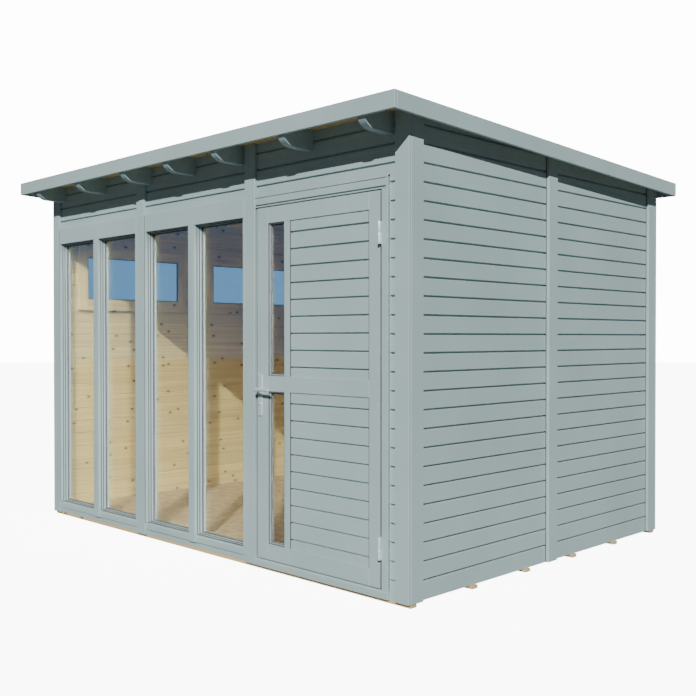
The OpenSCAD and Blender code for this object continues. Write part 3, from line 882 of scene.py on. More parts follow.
@dataclass
class Trims:
    """Corner trims, battens and the base board, each a planed timber with eased edges."""

    lines: SetOut
    ease: float = 0.0018
    slot: float = 0.006

    def corner(self, node: str) -> None:
        """Two boards that meet at a corner.

        Args:
            node: the corner's CAD node.
        """
        low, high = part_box(node)
        side = 1 if high.x > 0 else -1
        rear = high.y > 0
        t, w = self.lines.trim_t, self.lines.trim_w
        face = (high.y - t, high.y) if rear else (low.y, low.y + t)
        edge = (low.y, high.y - t) if rear else (low.y + t, high.y)
        piece = Piece(f"{node}_boards", PAINT[Axis.Z], SEAL_AND_PAINTED_SHADE)
        outer, inner, board = side * self.lines.half, side * (self.lines.half - w), side * (self.lines.half - t)
        top = high.z + 0.05
        piece.block((min(outer, inner), face[0], low.z), (max(outer, inner), face[1], top), 0, self.ease)
        piece.block((min(outer, board), edge[0], low.z), (max(outer, board), edge[1], top), 0, self.ease)
        # Rear corners get a dark strip at their front edge: painted shade of the open joint.
        if rear:
            self.gap(piece, side, low.y, low.z, top)
        piece.under_roof(self.lines.roof)
        piece.publish("building", "painted_wood", node)

    def battens(self, node: str, front: bool) -> None:
        """The two battens of the front or the back.

        Args:
            node: the battens' CAD node.
            front: whether they are the front ones; not used.
        """
        low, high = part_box(node)
        half = self.lines.trim_w / 2
        piece = Piece(f"{node}_timber", PAINT[Axis.Z])
        for middle in self.lines.battens:
            piece.block((middle - half, low.y, low.z), (middle + half, high.y, high.z + 0.05), 0, self.ease)
        piece.under_roof(self.lines.roof)
        piece.publish("building", "painted_wood", node)

    def gap(self, piece: Piece, side: int, edge: float, bottom: float, top: float) -> None:
        """A dark strip that paints the shade of the open joint where the side boards stop against a trim.

        Args:
            piece: the trim's piece, whose second finish is the dark painted shade.
            side: 1 on the right wall, -1 on the left.
            edge: the trim's front edge.
            bottom: where the joint starts.
            top: where it ends.
        """
        near, far = sorted((side * (self.lines.half - 0.0165), side * (self.lines.half - 0.0195)))
        piece.block((near, edge - self.slot, bottom), (far, edge, top), 1, 0.0)

    def single(self, node: str, finish: Finish, roofed: bool) -> None:
        """One timber that fills its node's box.

        Args:
            node: the timber's CAD node.
            finish: its finish.
            roofed: whether the roof cuts its top.
        """
        low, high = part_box(node)
        piece = Piece(f"{node}_timber", finish, SEAL_AND_PAINTED_SHADE)
        piece.block(low, (high.x, high.y, high.z + (0.05 if roofed else 0.0)), 0, self.ease)
        # The side batten gets the same dark strip: painted shade of the open joint.
        if roofed:
            self.gap(piece, 1 if high.x > 0 else -1, low.y, low.z, high.z + 0.05)
        if roofed:
            piece.under_roof(self.lines.roof)
        piece.publish("building", "painted_wood", node)

    def build(self) -> None:
        """Builds every trim."""
        for node in ("front_left", "front_right", "rear_left", "rear_right"):
            self.corner(f"corner_trim_{node}")
        self.battens("front_battens", True)
        self.battens("rear_battens", False)
        self.single("side_batten_left", PAINT[Axis.Z], True)
        self.single("side_batten_right", PAINT[Axis.Z], True)
        self.single("front_base_board", PAINT[Axis.X], False)


# ---------------------------------------------------------------- glazing


@dataclass(frozen=True)
class SealedUnit:
    """Double glazing: two sheets of glass with a dark spacer round their edge."""

    sheet: float = 0.004
    spacer: float = 0.017
    seal: float = 0.0125

    def glaze(self, glass: Piece, frame_piece: Piece, low: Vector, high: Vector, dark: int) -> None:
        """Adds one unit.

        Args:
            glass: the piece that takes the sheets.
            frame_piece: the piece that takes the spacer.
            low: the unit's lowest corner, in a wall's own directions.
            high: its highest corner.
            dark: the spacer's finish in the frame's list.
        """
        glass.block(low, (high.x, low.y + self.sheet, high.z), 0, 0.0)
        glass.block((low.x, high.y - self.sheet, low.z), high, 0, 0.0)
        inner, outer = low.y + self.sheet + 0.0002, high.y - self.sheet - 0.0002
        frame_piece.ring((low.x, inner, low.z), (high.x, outer, high.z), self.spacer, dark)
        frame_piece.ring((low.x, low.y - 0.0004, low.z), (high.x, low.y - 0.0001, high.z), self.seal, dark)


@dataclass
class FrontWindow:
    """One glazed front module: stiles, rails, a middle post, beads and two sealed units."""

    lines: SetOut
    side: str
    trims: Point
    stile: float = 0.015
    post: float = 0.060
    bottom_rail: float = 0.046
    head_rail: float = 0.108
    setback: float = 0.010
    bead_depths: tuple[float, float] = (0.022, 0.036)
    bead_steps: tuple[float, float] = (0.004, 0.009)
    joint: float = 0.007
    joint_depth: float = 0.006
    shadow: float = 0.0035
    unit: SealedUnit = field(default_factory=SealedUnit)

    def build(self) -> None:
        """Builds the frame, its beads and its glass."""
        lines = self.lines
        node, glass_node = f"window_frame_{self.side}", f"window_glass_{self.side}"
        low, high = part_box(node)
        pane_low, pane_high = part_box(glass_node)
        deep = high.y - lines.front
        glass_in, glass_out = pane_low.y - lines.front, pane_high.y - lines.front
        left, right = self.trims
        middle = (left + right) / 2
        sill, lintel = low.z + self.bottom_rail, high.z - self.head_rail
        t = lines.trim_t
        frame_piece = Piece(f"{node}_timber", PAINT[Axis.Z], PAINT[Axis.X], BARE_UPRIGHT, LINING_X, SEAL_AND_PAINTED_SHADE)
        inside = deep - 0.001

        def upright(face: bmesh.types.BMFace) -> int:
            """Bare wood on the room side of an upright."""
            return 2 if face.normal.y > 0.5 and face.calc_center_median().y > inside else 0

        def level(face: bmesh.types.BMFace) -> int:
            """Bare wood on the room side of a rail."""
            return 3 if face.normal.y > 0.5 and face.calc_center_median().y > inside else 1

        slot, sunk = self.joint, self.joint_depth
        first = [(left + slot, 0.0), (left + self.stile, 0.0), (left + self.stile, deep), (low.x, deep), (low.x, t),
                 (left, t), (left, sunk), (left + slot, sunk)]
        last = [(right, 0.0), (right, t), (high.x, t), (high.x, deep), (right - self.stile, deep),
                (right - self.stile, 0.0)]
        for outline in (first, last):
            frame_piece.section(outline, Axis.Z, sill, high.z, 0, 0.0010, upright)
        half = self.post / 2
        post = [(middle - half, 0.0), (middle + half, 0.0), (middle + half, deep), (middle - half, deep)]
        frame_piece.section(post, Axis.Z, sill, lintel, 0, 0.0010, upright)
        frame_piece.block((middle - half, 0.0, low.z), (middle + half, t, sill), 0, 0.0010)
        # A dark strip in the slot beside the batten paints the shade of an open joint.
        frame_piece.block((left, 0.0012, sill), (left + slot, sunk, high.z), 4, 0.0)
        rail = [(0.0, lintel), (deep, lintel), (deep, high.z), (0.0, high.z)]
        frame_piece.section(rail, Axis.X, left + self.stile, right - self.stile, 1, 0.0010, level)
        back = self.setback
        still = [(back, low.z), (back, sill - 0.012), (t, sill - 0.004), (deep - 0.03, sill), (deep, sill),
                 (deep, low.z)]
        frame_piece.section(still, Axis.X, left, middle - half, 1, 0.0008, level)
        frame_piece.section(still, Axis.X, middle + half, right, 1, 0.0008, level)
        tucked = [(t + 0.0005, low.z), (deep, low.z), (deep, sill), (t + 0.0005, sill)]
        for ends in ((low.x, left), (middle - half, middle + half), (right, high.x)):
            frame_piece.section(tucked, Axis.X, ends[0], ends[1], 1, 0.0, level)
        glass = Piece(f"{glass_node}_sheets", GLASS)
        for start, end in ((left + self.stile, middle - half), (middle + half, right - self.stile)):
            for depth, step in zip(self.bead_depths, self.bead_steps):
                frame_piece.ring((start, depth, sill), (end, glass_in - 0.0005, lintel), step, 0, 0.0006)
                # A dark ring in front of each bead step paints its shadow.
                frame_piece.ring((start, depth - self.shadow, sill), (end, depth, lintel), step - 0.001, 4)
            frame_piece.ring((start, glass_out + 0.0005, sill), (end, glass_out + 0.014, lintel), 0.010, 0, 0.001)
            gap = 0.0003
            self.unit.glaze(glass, frame_piece, Vector((start + gap, glass_in, sill + gap)),
                            Vector((end - gap, glass_out, lintel - gap)), 4)
        place = Wall.FRONT.place(lines)
        for piece in (frame_piece, glass):
            piece.turn(place)
        frame_piece.publish("building", "painted_wood", node)
        glass.publish("building", "glass", glass_node)


@dataclass
class SideWindows:
    """The two high windows in the left wall."""

    lines: SetOut
    member: float = 0.072
    inner_rail: float = 0.060
    unit: SealedUnit = field(default_factory=SealedUnit)

    def holes(self) -> list[tuple[Vector, Vector]]:
        """The two frames' outer boxes, front one first.

        Returns:
            A lowest and a highest corner for each window.
        """
        low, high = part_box("side_window_frames")
        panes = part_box("side_window_glass")
        wide = panes[1].z - panes[0].z + 2 * self.member
        length = (low.y + high.y) / 2
        span = self._span(low, high, wide)
        return [(Vector((low.x, low.y, low.z)), Vector((high.x, low.y + span, high.z))),
                (Vector((low.x, high.y - span, low.z)), Vector((high.x, high.y, high.z)))] if length else []

    def _span(self, low: Vector, high: Vector, tall: float) -> float:
        """Length of one frame along the wall.

        Args:
            low: the lowest corner of both frames together.
            high: their highest corner.
            tall: one frame's height, which is left as it is.

        Returns:
            The length in metres.
        """
        return 0.815 + 2 * self.member if tall > 0 else high.y - low.y

    def build(self) -> None:
        """Builds both windows."""
        frames = Piece("side_window_timber", PAINT[Axis.Y], PAINT[Axis.Z], LINING_Y, BARE_UPRIGHT, SEAL_AND_PAINTED_SHADE)
        glass = Piece("side_window_sheets", GLASS)
        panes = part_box("side_window_glass")
        glass_d = (panes[0].x + self.lines.half, panes[1].x + self.lines.half)
        for low, high in self.holes():
            outer, inner = low.x + self.lines.half, high.x + self.lines.half
            left, right, w = -high.y, -low.y, self.member
            for start, end in ((left, left + w), (right - w, right)):
                frames.block((start, outer, low.z), (end, glass_d[1], high.z), 1)
                frames.block((start, glass_d[1], low.z), (end, inner, high.z), 3)
            for start, end in ((low.z, low.z + w), (high.z - w, high.z)):
                frames.block((left + w, outer, start), (right - w, glass_d[1], end), 0)
                frames.block((left + w, glass_d[1], start), (right - w, inner, end), 2)
            sight = (left + w, right - w, low.z + w, high.z - w)
            frames.ring((sight[0], outer + 0.010, sight[2]), (sight[1], glass_d[0] - 0.0005, sight[3]), 0.010, 0, 0.001)
            frames.ring((sight[0], glass_d[1], sight[2]), (sight[1], glass_d[1] + 0.012, sight[3]), 0.010, 2, 0.001)
            self.unit.glaze(glass, frames, Vector((sight[0] + 0.0003, glass_d[0], sight[2] + 0.0003)),
                            Vector((sight[1] - 0.0003, glass_d[1], sight[3] - 0.0003)), 4)
        place = Wall.LEFT.place(self.lines)
        for piece in (frames, glass):
            piece.turn(place)
        frames.publish("building", "painted_wood", "side_window_frames")
        glass.publish("building", "glass", "side_window_glass")


# ---------------------------------------------------------------- door


@dataclass
class DoorFrame:
    """Threshold, head and jambs round the door."""

    lines: SetOut
    edge: float = 0.004
    joint: tuple[float, float] = (0.0005, 0.006)

    def build(self) -> None:
        """Builds the four members."""
        lines = self.lines
        y, t = lines.front, lines.trim_t
        low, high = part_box("door_threshold")
        show = lines.battens[1] + lines.trim_w / 2
        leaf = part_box("door_leaf")
        sill = Piece("door_threshold_timber", PAINT[Axis.X])
        nose = [(y, low.z), (y + t, low.z), (y + t, high.z), (y + 0.006, high.z - 0.001), (y, high.z - 0.008)]
        sill.section(nose, Axis.X, show, high.x, 0, 0.0008)
        sill.block((low.x, y + t, low.z), (high.x, y + t + lines.board_t, high.z), 0, 0.0)
        sill.block((low.x, y + t + lines.board_t, lines.foot), (high.x, high.y, high.z), 0, 0.001)
        sill.publish("building", "painted_wood", "door_threshold")
        low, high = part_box("door_head")
        stop = 0.012
        under = low.z + stop
        head = Piece("door_head_timber", PAINT[Axis.X], LINING_X)
        head.block((low.x, y + t, under), high, 0, 0.0012)
        head.block((show, y + self.edge, under), (high.x, y + t, under + 0.0075), 0, 0.001)
        head.block((show, y + self.edge, under + 0.0145), (high.x, y + t, high.z), 0, 0.001)
        head.block((show, y, high.z - 0.012), (high.x, y + t, high.z), 0, 0.001)
        head.block((high.x - 0.012, y, under), (high.x, y + t, high.z - 0.012), 0, 0.0)
        jamb_left, jamb_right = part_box("door_jamb_left"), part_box("door_jamb_right")
        stop_y = leaf[1].y + 0.0052
        head.block((jamb_left[1].x, stop_y, low.z), (jamb_right[0].x, high.y, under), 0, 0.001)
        head.publish("building", "painted_wood", "door_head")
        low, high = jamb_left
        left = Piece("door_jamb_left_timber", PAINT[Axis.Z], SEAL_AND_PAINTED_SHADE)
        slot = (show + self.joint[0], show + self.joint[1])
        left.block((low.x, low.y, low.z), (slot[0], low.y + 0.006, high.z), 0, 0.0010)
        left.block((slot[1], low.y, low.z), (high.x - stop, low.y + 0.006, high.z), 0, 0.0004)
        left.block((low.x, low.y + 0.006, low.z), (high.x - stop, high.y, high.z), 0, 0.0)
        # A dark strip in the slot beside the batten paints the shade of an open joint.
        left.block((slot[0], low.y + 0.0008, low.z), (slot[1], low.y + 0.006, high.z), 1, 0.0)
        left.block((high.x - stop, stop_y, low.z), (high.x, high.y, high.z - stop), 0, 0.001)
        left.publish("building", "painted_wood", "door_jamb_left")
        low, high = jamb_right
        right = Piece("door_jamb_right_timber", PAINT[Axis.Z])
        right.block((low.x + stop, y + self.edge, low.z), (high.x, high.y, high.z), 0, 0.0012)
        right.block((high.x - 0.012, y, low.z), (high.x, y + t, high.z), 0, 0.001)
        right.block((low.x, stop_y, low.z), (low.x + stop, high.y, high.z - stop), 0, 0.001)
        right.publish("building", "painted_wood", "door_jamb_right")


@dataclass
class DoorLeaf:
    """The leaf: stiles and rails, two boarded panels and two narrow glazed strips."""

    lines: SetOut
    lock_stile: float = 0.091
    glass_w: float = 0.133
    mid_stile: float = 0.042
    hinge_stile: float = 0.079
    bead_in: float = 0.009
    bead_w: float = 0.008
    board_slot: float = 0.005
    edge_shade_strips: Point = (0.003, 0.005)
    bottom_rail: float = 0.086
    top_rail: float = 0.087
    panel_low: Point = (0.149, 0.975)
    panel_high: Point = (1.059, 1.882)
    courses: tuple[Courses, Courses] = (
        Courses(face=0.006, thick=0.020, cover=0.0896, datum=0.920, gap=0.009, rebate=0.011, lip=0.002, vee=0.0015),
        Courses(face=0.006, thick=0.020, cover=0.0891, datum=1.826, gap=0.009, rebate=0.011, lip=0.002, vee=0.0015))
    unit: SealedUnit = field(default_factory=lambda: SealedUnit(0.004, 0.013, 0.0105))

    def build(self) -> None:
        """Builds the leaf's timber, boards and glass."""
        low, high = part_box("door_leaf")
        thick = high.y - low.y
        glass_a = low.x + self.lock_stile
        glass_b = glass_a + self.glass_w
        board_a, board_b = glass_b + self.mid_stile, high.x - self.hinge_stile
        leaf = Piece("door_leaf_timber", PAINT[Axis.Z], PAINT[Axis.X], SEAL_AND_PAINTED_SHADE)
        lock_edge, hinge_edge = low.x + self.edge_shade_strips[0], high.x - self.edge_shade_strips[1]
        leaf.block((lock_edge, 0.0, low.z), (glass_a, thick, high.z), 0, 0.0012)
        leaf.block((board_b, 0.0, low.z), (hinge_edge, thick, high.z), 0, 0.0012)
        # Dark strips down both edges of the leaf paint the shade in the gaps beside the jambs.
        for start, end in ((low.x, lock_edge), (hinge_edge, high.x)):
            leaf.block((start, 0.0008, low.z + 0.002), (end, thick - 0.0008, high.z - 0.002), 2, 0.0)
        for start, end in ((low.z, self.panel_low[0]), (self.panel_low[1], self.panel_high[0]),
                           (self.panel_high[1], high.z)):
            leaf.block((glass_a, 0.0, start), (board_b, thick, end), 1, 0.0012)
        glass = Piece("door_glass_sheets", GLASS)
        boards = Piece("door_panel_boards", PAINT[Axis.X], PAINT[Axis.X])
        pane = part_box("door_glass")
        depth = (pane[0].y - low.y, pane[1].y - low.y)
        for panel, courses in zip((self.panel_low, self.panel_high), self.courses):
            leaf.block((glass_b, 0.0, panel[0]), (board_a, thick, panel[1]), 0, 0.0012)
            # The outer bead is painted; the inner bead takes the dark finish as painted shade behind the glass.
            for near, far, finish in ((self.bead_in, depth[0] - 0.0006, 0), (depth[1] + 0.0004, thick - 0.004, 2)):
                leaf.ring((glass_a, near, panel[0]), (glass_b, far, panel[1]), self.bead_w, finish, 0.0004)
            # A dark ring in front of the outer bead paints its shadow.
            leaf.ring((glass_a, self.bead_in - 0.005, panel[0]), (glass_b, self.bead_in, panel[1]), 0.005, 2)
            self.unit.glaze(glass, leaf, Vector((glass_a + 0.0003, depth[0], panel[0] + 0.0003)),
                            Vector((glass_b - 0.0003, depth[1], panel[1] - 0.0003)), 2)
            courses.lay(boards, (board_a + self.board_slot, board_b - self.board_slot), panel)
            # Dark strips at the boards' ends paint the shade in the slots.
            for spot in (board_a, board_b - self.board_slot):
                leaf.block((spot, 0.003, panel[0]), (spot + self.board_slot, 0.026, panel[1]), 2, 0.0)
            leaf.ring((board_a, 0.027, panel[0]), (board_b, thick - 0.003, panel[1]), 0.012, 0, 0.001)
        place = Matrix.Translation((0.0, low.y, 0.0))
        for piece in (leaf, glass, boards):
            piece.turn(place)
        leaf.publish("door", "painted_wood", "door_leaf")
        glass.publish("door", "glass", "door_glass")
        boards.publish("door", "painted_wood", "door_boards")


@dataclass
class Hinges:
    """Two lift-off hinges: the frame's halves carry the pins and the door's halves drop over them."""

    screw_r: float = 0.0035

    def half(self, name: str, node: str, body: str, lower: bool) -> None:
        """One body's halves of both hinges.

        Args:
            name: the piece's name.
            node: the CAD node it stands for.
            body: the body it rides.
            lower: whether these are the frame's lower halves.
        """
        low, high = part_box(node)
        joint = next(j for j in frame["joints"] if j["name"] == "door_swing")
        axis = Vector(joint.get("pos_m", (1.5155, -1.1725, 1.0)))
        radius, reach = 0.0085, 0.05385
        piece = Piece(name, STEEL, PAINTED_SHADE_STEEL)
        for middle in (0.258, 1.765):
            foot = middle - 0.054 if lower else middle + 0.00015
            piece.rod((axis.x, axis.y, foot), (axis.x, axis.y, foot + reach), radius, 0, 0.0012)
            if lower:
                # A dark sleeve at the knuckle's lower end paints the shade there.
                piece.rod((axis.x, axis.y, foot + 0.0001), (axis.x, axis.y, foot + 0.010), radius - 0.0001, 1, 0.0005)
                piece.rod((axis.x, axis.y, foot + reach - 0.002), (axis.x, axis.y, foot + 0.1070), 0.0044, 0, 0.0008)
            side = (low.x, high.x) if lower is False else (1.516, 1.518)
            flat = (1.513, 1.515) if not lower else (1.516, 1.518)
            piece.block((flat[0], axis.y + 0.004, foot), (flat[1], high.y, foot + reach), 0, 0.0004)
            del side
        piece.publish(body, "hinge_steel", node)

    def build(self) -> None:
        """Builds both halves."""
        self.half("hinge_frame_halves", "frame_hinges", "building", True)
        self.half("hinge_door_halves", "door_hinges", "door", False)


@dataclass
class Handle:
    """Long plates with a key cylinder, and a pair of levers on one spindle."""

    plate: tuple[float, float, float] = (0.035, 0.008, 0.226)
    key_r: float = 0.0085
    neck_r: float = 0.0088
    grip_r: float = 0.0083
    bend: float = 0.014

    def plates(self) -> None:
        """Both plates, with their key cylinders."""
        low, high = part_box("handle_plates")
        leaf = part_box("door_leaf")
        middle = (low.x + high.x) / 2
        key_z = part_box("lever_handles")[1].z - 0.009 - 0.078
        piece = Piece("handle_long_plates", ALUMINIUM, SEAL_AND_PAINTED_SHADE)
        for face, out in ((leaf[0].y, -1), (leaf[1].y, 1)):
            near, far = sorted((face, face + out * self.plate[1]))
            piece.block((low.x, near, low.z), (high.x, far, high.z), 0, 0.0022)
            tip = face + out * (self.plate[1] + 0.004)
            piece.rod((middle, face + out * 0.004, key_z), (middle, tip, key_z), self.key_r, 0, 0.0006)
            # A dark block in the key cylinder's face paints the shade of the keyway.
            slot = sorted((tip - out * 0.003, tip + out * 0.0000))
            piece.block((middle - 0.0008, slot[0], key_z - 0.0045), (middle + 0.0008, slot[1], key_z + 0.0045), 1, 0.0)
            for lift in (0.010, self.plate[2] - 0.010):
                spot = low.z + lift
                end = face + out * (self.plate[1] + 0.0006)
                piece.rod((middle, face + out * 0.006, spot), (middle, end, spot), 0.0032, 0, 0.0003, 20)
        piece.publish("door", "handle_metal", "handle_plates")

    def lever(self, piece: Piece, face: float, out: int, spot: Vector, reach: float) -> None:
        """One bent lever, from its neck to its rounded end.

        Args:
            piece: the piece it belongs to.
            face: the leaf's face that it stands on.
            out: -1 outside, 1 in the room.
            spot: the spindle's middle.
            reach: how far along the grip's middle line ends.
        """
        line = face + out * 0.053
        bm = piece.mesh
        place = Matrix.Translation((spot.x, face, spot.z)) @ Matrix.Rotation(math.radians(90), 4, "X")
        made = bmesh.ops.create_circle(bm, cap_ends=False, radius=self.neck_r, segments=28, matrix=place)["verts"]
        started = set(made)
        loop = list({e for v in made for e in v.link_edges})
        grown = bmesh.ops.extrude_edge_only(bm, edges=loop)["geom"]
        verts = [g for g in grown if isinstance(g, bmesh.types.BMVert)]
        bmesh.ops.translate(bm, vec=(0.0, line - out * self.bend - face, 0.0), verts=verts)
        last = [g for g in grown if isinstance(g, bmesh.types.BMEdge) and all(v in verts for v in g.verts)]
        started |= set(verts)
        centre = (spot.x + self.bend, line - out * self.bend, spot.z)
        spun = bmesh.ops.spin(bm, geom=last, cent=centre, axis=(0.0, 0.0, 1.0), angle=math.radians(90) * out * -1,
                              steps=8, use_duplicate=False)["geom_last"]
        ends = [g for g in spun if isinstance(g, bmesh.types.BMVert)]
        rim = [g for g in spun if isinstance(g, bmesh.types.BMEdge)]
        for share, size in ((0.55, 0.98), (0.45, 0.97)):
            grown = bmesh.ops.extrude_edge_only(bm, edges=rim)["geom"]
            ends = [g for g in grown if isinstance(g, bmesh.types.BMVert)]
            step = (reach - self.grip_r - (spot.x + self.bend)) * share
            bmesh.ops.translate(bm, vec=(step, 0.0, 0.0), verts=ends)
            centre_now = sum((v.co for v in ends), Vector()) / len(ends)
            bmesh.ops.scale(bm, vec=(1.0, size, size), space=Matrix.Translation(-centre_now), verts=ends)
            rim = [g for g in grown if isinstance(g, bmesh.types.BMEdge) and all(v in ends for v in g.verts)]
        for share in (0.35, 0.65, 0.9, 1.0):
            grown = bmesh.ops.extrude_edge_only(bm, edges=rim)["geom"]
            ends = [g for g in grown if isinstance(g, bmesh.types.BMVert)]
            done = math.sqrt(max(0.0, 1.0 - share ** 2))
            centre_now = sum((v.co for v in ends), Vector()) / len(ends)
            round_now = max((v.co - centre_now).length for v in ends)
            size = max(0.0004, self.grip_r * 0.95 * done) / round_now
            bmesh.ops.scale(bm, vec=(1.0, size, size), space=Matrix.Translation(-centre_now), verts=ends)
            goal = reach - self.grip_r * (1.0 - share)
            bmesh.ops.translate(bm, vec=(goal - centre_now.x, 0.0, 0.0), verts=ends)
            rim = [g for g in grown if isinstance(g, bmesh.types.BMEdge) and all(v in ends for v in g.verts)]
        bmesh.ops.holes_fill(bm, edges=[e for e in bm.edges if e.is_boundary], sides=0)
        piece.rod((spot.x, face + out * 0.0081, spot.z), (spot.x, face + out * 0.011, spot.z), 0.0088, 0, 0.0006)

    def levers(self) -> None:
        """Both levers and the spindle that joins them."""
        low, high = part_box("lever_handles")
        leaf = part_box("door_leaf")
        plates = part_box("handle_plates")
        spot = Vector(((plates[0].x + plates[1].x) / 2, 0.0, (low.z + high.z) / 2))
        piece = Piece("handle_lever_pair", ALUMINIUM)
        self.lever(piece, leaf[0].y, -1, spot, high.x)
        self.lever(piece, leaf[1].y, 1, spot, high.x)
        piece.rod((spot.x, leaf[0].y, spot.z), (spot.x, leaf[1].y, spot.z), 0.0046, 0, 0.0)
        bmesh.ops.recalc_face_normals(piece.mesh, faces=piece.mesh.faces)
        for face in piece.mesh.faces:
            face.smooth = len(face.verts) < 8
        piece.publish("lever", "handle_metal", "lever_handles")

    def build(self) -> None:
        """Builds the plates and the levers."""
        self.plates()
        self.levers()


# ---------------------------------------------------------------- floor and roof


@dataclass
class Floor:
    """Bearers under the walls, and a floor of three strand boards."""

    lines: SetOut
    bearer: float = 0.045
    count: int = 6
    joint: float = 0.0015

    def build(self) -> None:
        """Builds the bearers and the boards."""
        low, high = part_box("floor_bearers")
        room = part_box("floor_deck")
        piece = Piece("floor_bearer_timbers", BareSpruce(Axis.X, Axis.Y, (0.72, 0.52, 0.25), (0.52, 0.32, 0.12), "bearer"))
        half = self.bearer / 2
        for index in range(self.count):
            y = low.y + half + (high.y - low.y - self.bearer) * index / (self.count - 1)
            piece.block((low.x, y - half, low.z), (high.x, y + half, self.lines.base), 0, 0.001)
            near, far = max(y - half, room[0].y), min(y + half, room[1].y)
            piece.block((room[0].x, near, 0.009), (room[1].x, far, high.z), 0, 0.0)
        piece.publish("building", "natural_wood", "floor_bearers")
        deck = Piece("floor_strand_boards", STRANDS)
        step = (room[1].x - room[0].x) / 3
        for index in range(3):
            start = room[0].x + index * step
            deck.block((start + self.joint / 2, room[0].y, room[0].z), (start + step - self.joint / 2, room[1].y,
                       room[1].z), 0, 0.001)
        deck.publish("building", "natural_wood", "floor_deck")


@dataclass
class Roof:
    """Rafters, roof boards, felt and fascias."""

    lines: SetOut
    rafters: tuple[float, ...] = (-1.5645, -1.0185, -0.4725, -0.0130, 0.4465, 1.0055, 1.5645)
    rafter_w: float = 0.045
    rafter_h: float = 0.105
    straight: float = 0.115
    round_r: float = 0.080
    board: float = 0.090
    board_t: float = 0.018

    def rafter_timbers(self) -> None:
        """The rafters, with their rounded tails."""
        roof = self.lines.roof
        low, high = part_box("rafters")
        start = self.lines.front - self.straight
        reach = start - low.y
        nose = []
        for step in range(0, 13):
            out = reach * step / 12
            drop = self.round_r - math.sqrt(self.round_r ** 2 - out ** 2)
            nose.append((start - out, roof.underside(start - out) - self.rafter_h + drop))
        outline = [(low.y, roof.underside(low.y)), (high.y, roof.underside(high.y)),
                   (high.y, roof.underside(high.y) - self.rafter_h), *nose]
        piece = Piece("rafter_timbers", PAINT[Axis.Y], LINING_Y)
        half = self.rafter_w / 2
        for middle in self.rafters:
            piece.section(outline, Axis.X, middle - half, middle + half, 0, 0.0012)
        indoors = [y for y in (self.lines.front + 0.047, self.lines.rear - 0.047)]
        for edge in indoors:
            bmesh.ops.bisect_plane(piece.mesh, geom=[*piece.mesh.verts, *piece.mesh.edges, *piece.mesh.faces],
                                   plane_co=(0.0, edge, 0.0), plane_no=(0.0, 1.0, 0.0), dist=1e-6)
        for face in piece.mesh.faces:
            face.material_index = int(indoors[0] < face.calc_center_median().y < indoors[1])
        piece.publish("building", "painted_wood", "rafters")

    def boards(self) -> None:
        """Roof boards across the rafters, with fine V joints underneath."""
        roof = self.lines.roof
        low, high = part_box("roof_boards")
        piece = Piece("roof_board_timbers", SOFFIT_PAINTED_LIGHT)
        count = math.ceil((high.y - low.y) / self.board)
        for index in range(count):
            near = low.y + index * self.board
            far = min(near + self.board, high.y)
            vee, thick = 0.002, self.board_t
            outline = [(near, roof.underside(near) + vee), (near + vee, roof.underside(near + vee)),
                       (far - vee, roof.underside(far - vee)), (far, roof.underside(far) + vee),
                       (far, roof.underside(far) + thick), (near, roof.underside(near) + thick)]
            piece.section(outline, Axis.X, low.x, high.x)
        piece.publish("building", "soffit_wood", "roof_boards")

    def felt(self) -> None:
        """Three lapped widths of felt between the fascias."""
        roof = self.lines.roof
        low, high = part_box("roof_felt")
        piece = Piece("roof_felt_sheets", FELT)
        step = (high.y - low.y) / 3
        for index in range(3):
            near, far = low.y + index * step, low.y + (index + 1) * step
            far = min(far + (0.06 if index < 2 else 0.0), high.y)
            lift = 0.021 - roof.under + (0.0012 * (2 - index))
            outline = [(near, roof.top(near) - 0.008), (far, roof.top(far) - 0.008),
                       (far, roof.top(far) - 0.0068 - 0.0 + min(lift, 0.0)),
                       (near, roof.top(near) - 0.0068 + min(lift, 0.0))]
            top = 0.0018 - 0.0006 * index
            outline = [(near, roof.top(near) - 0.008), (far, roof.top(far) - 0.008),
                       (far, roof.top(far) - 0.0068 + top), (near, roof.top(near) - 0.0068 + top)]
            piece.section(outline, Axis.X, low.x, high.x)
        piece.publish("building", "roof_felt", "roof_felt")

    def fascias(self) -> None:
        """The four fascia boards."""
        roof = self.lines.roof
        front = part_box("fascia_front")
        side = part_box("fascia_right")
        height = roof.top(side[1].y) - side[0].z
        for node in ("fascia_front", "fascia_rear", "fascia_left", "fascia_right"):
            low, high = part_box(node)
            across = node in ("fascia_front", "fascia_rear")
            outline = [(low.y, roof.top(low.y) - height), (high.y, roof.top(high.y) - height),
                       (high.y, roof.top(high.y)), (low.y, roof.top(low.y))]
            piece = Piece(f"{node}_board", PAINT[Axis.X if across else Axis.Y])
            piece.section(outline, Axis.X, low.x, high.x, 0, 0.0015)
            piece.publish("building", "painted_wood", node)
        log.info("fascias are %.1f mm high from %.3f m", height * 1000, front[1].z)

    def build(self) -> None:
        """Builds the roof."""
        self.rafter_timbers()
        self.boards()
        self.felt()
        self.fascias()


# ---------------------------------------------------------------- studio


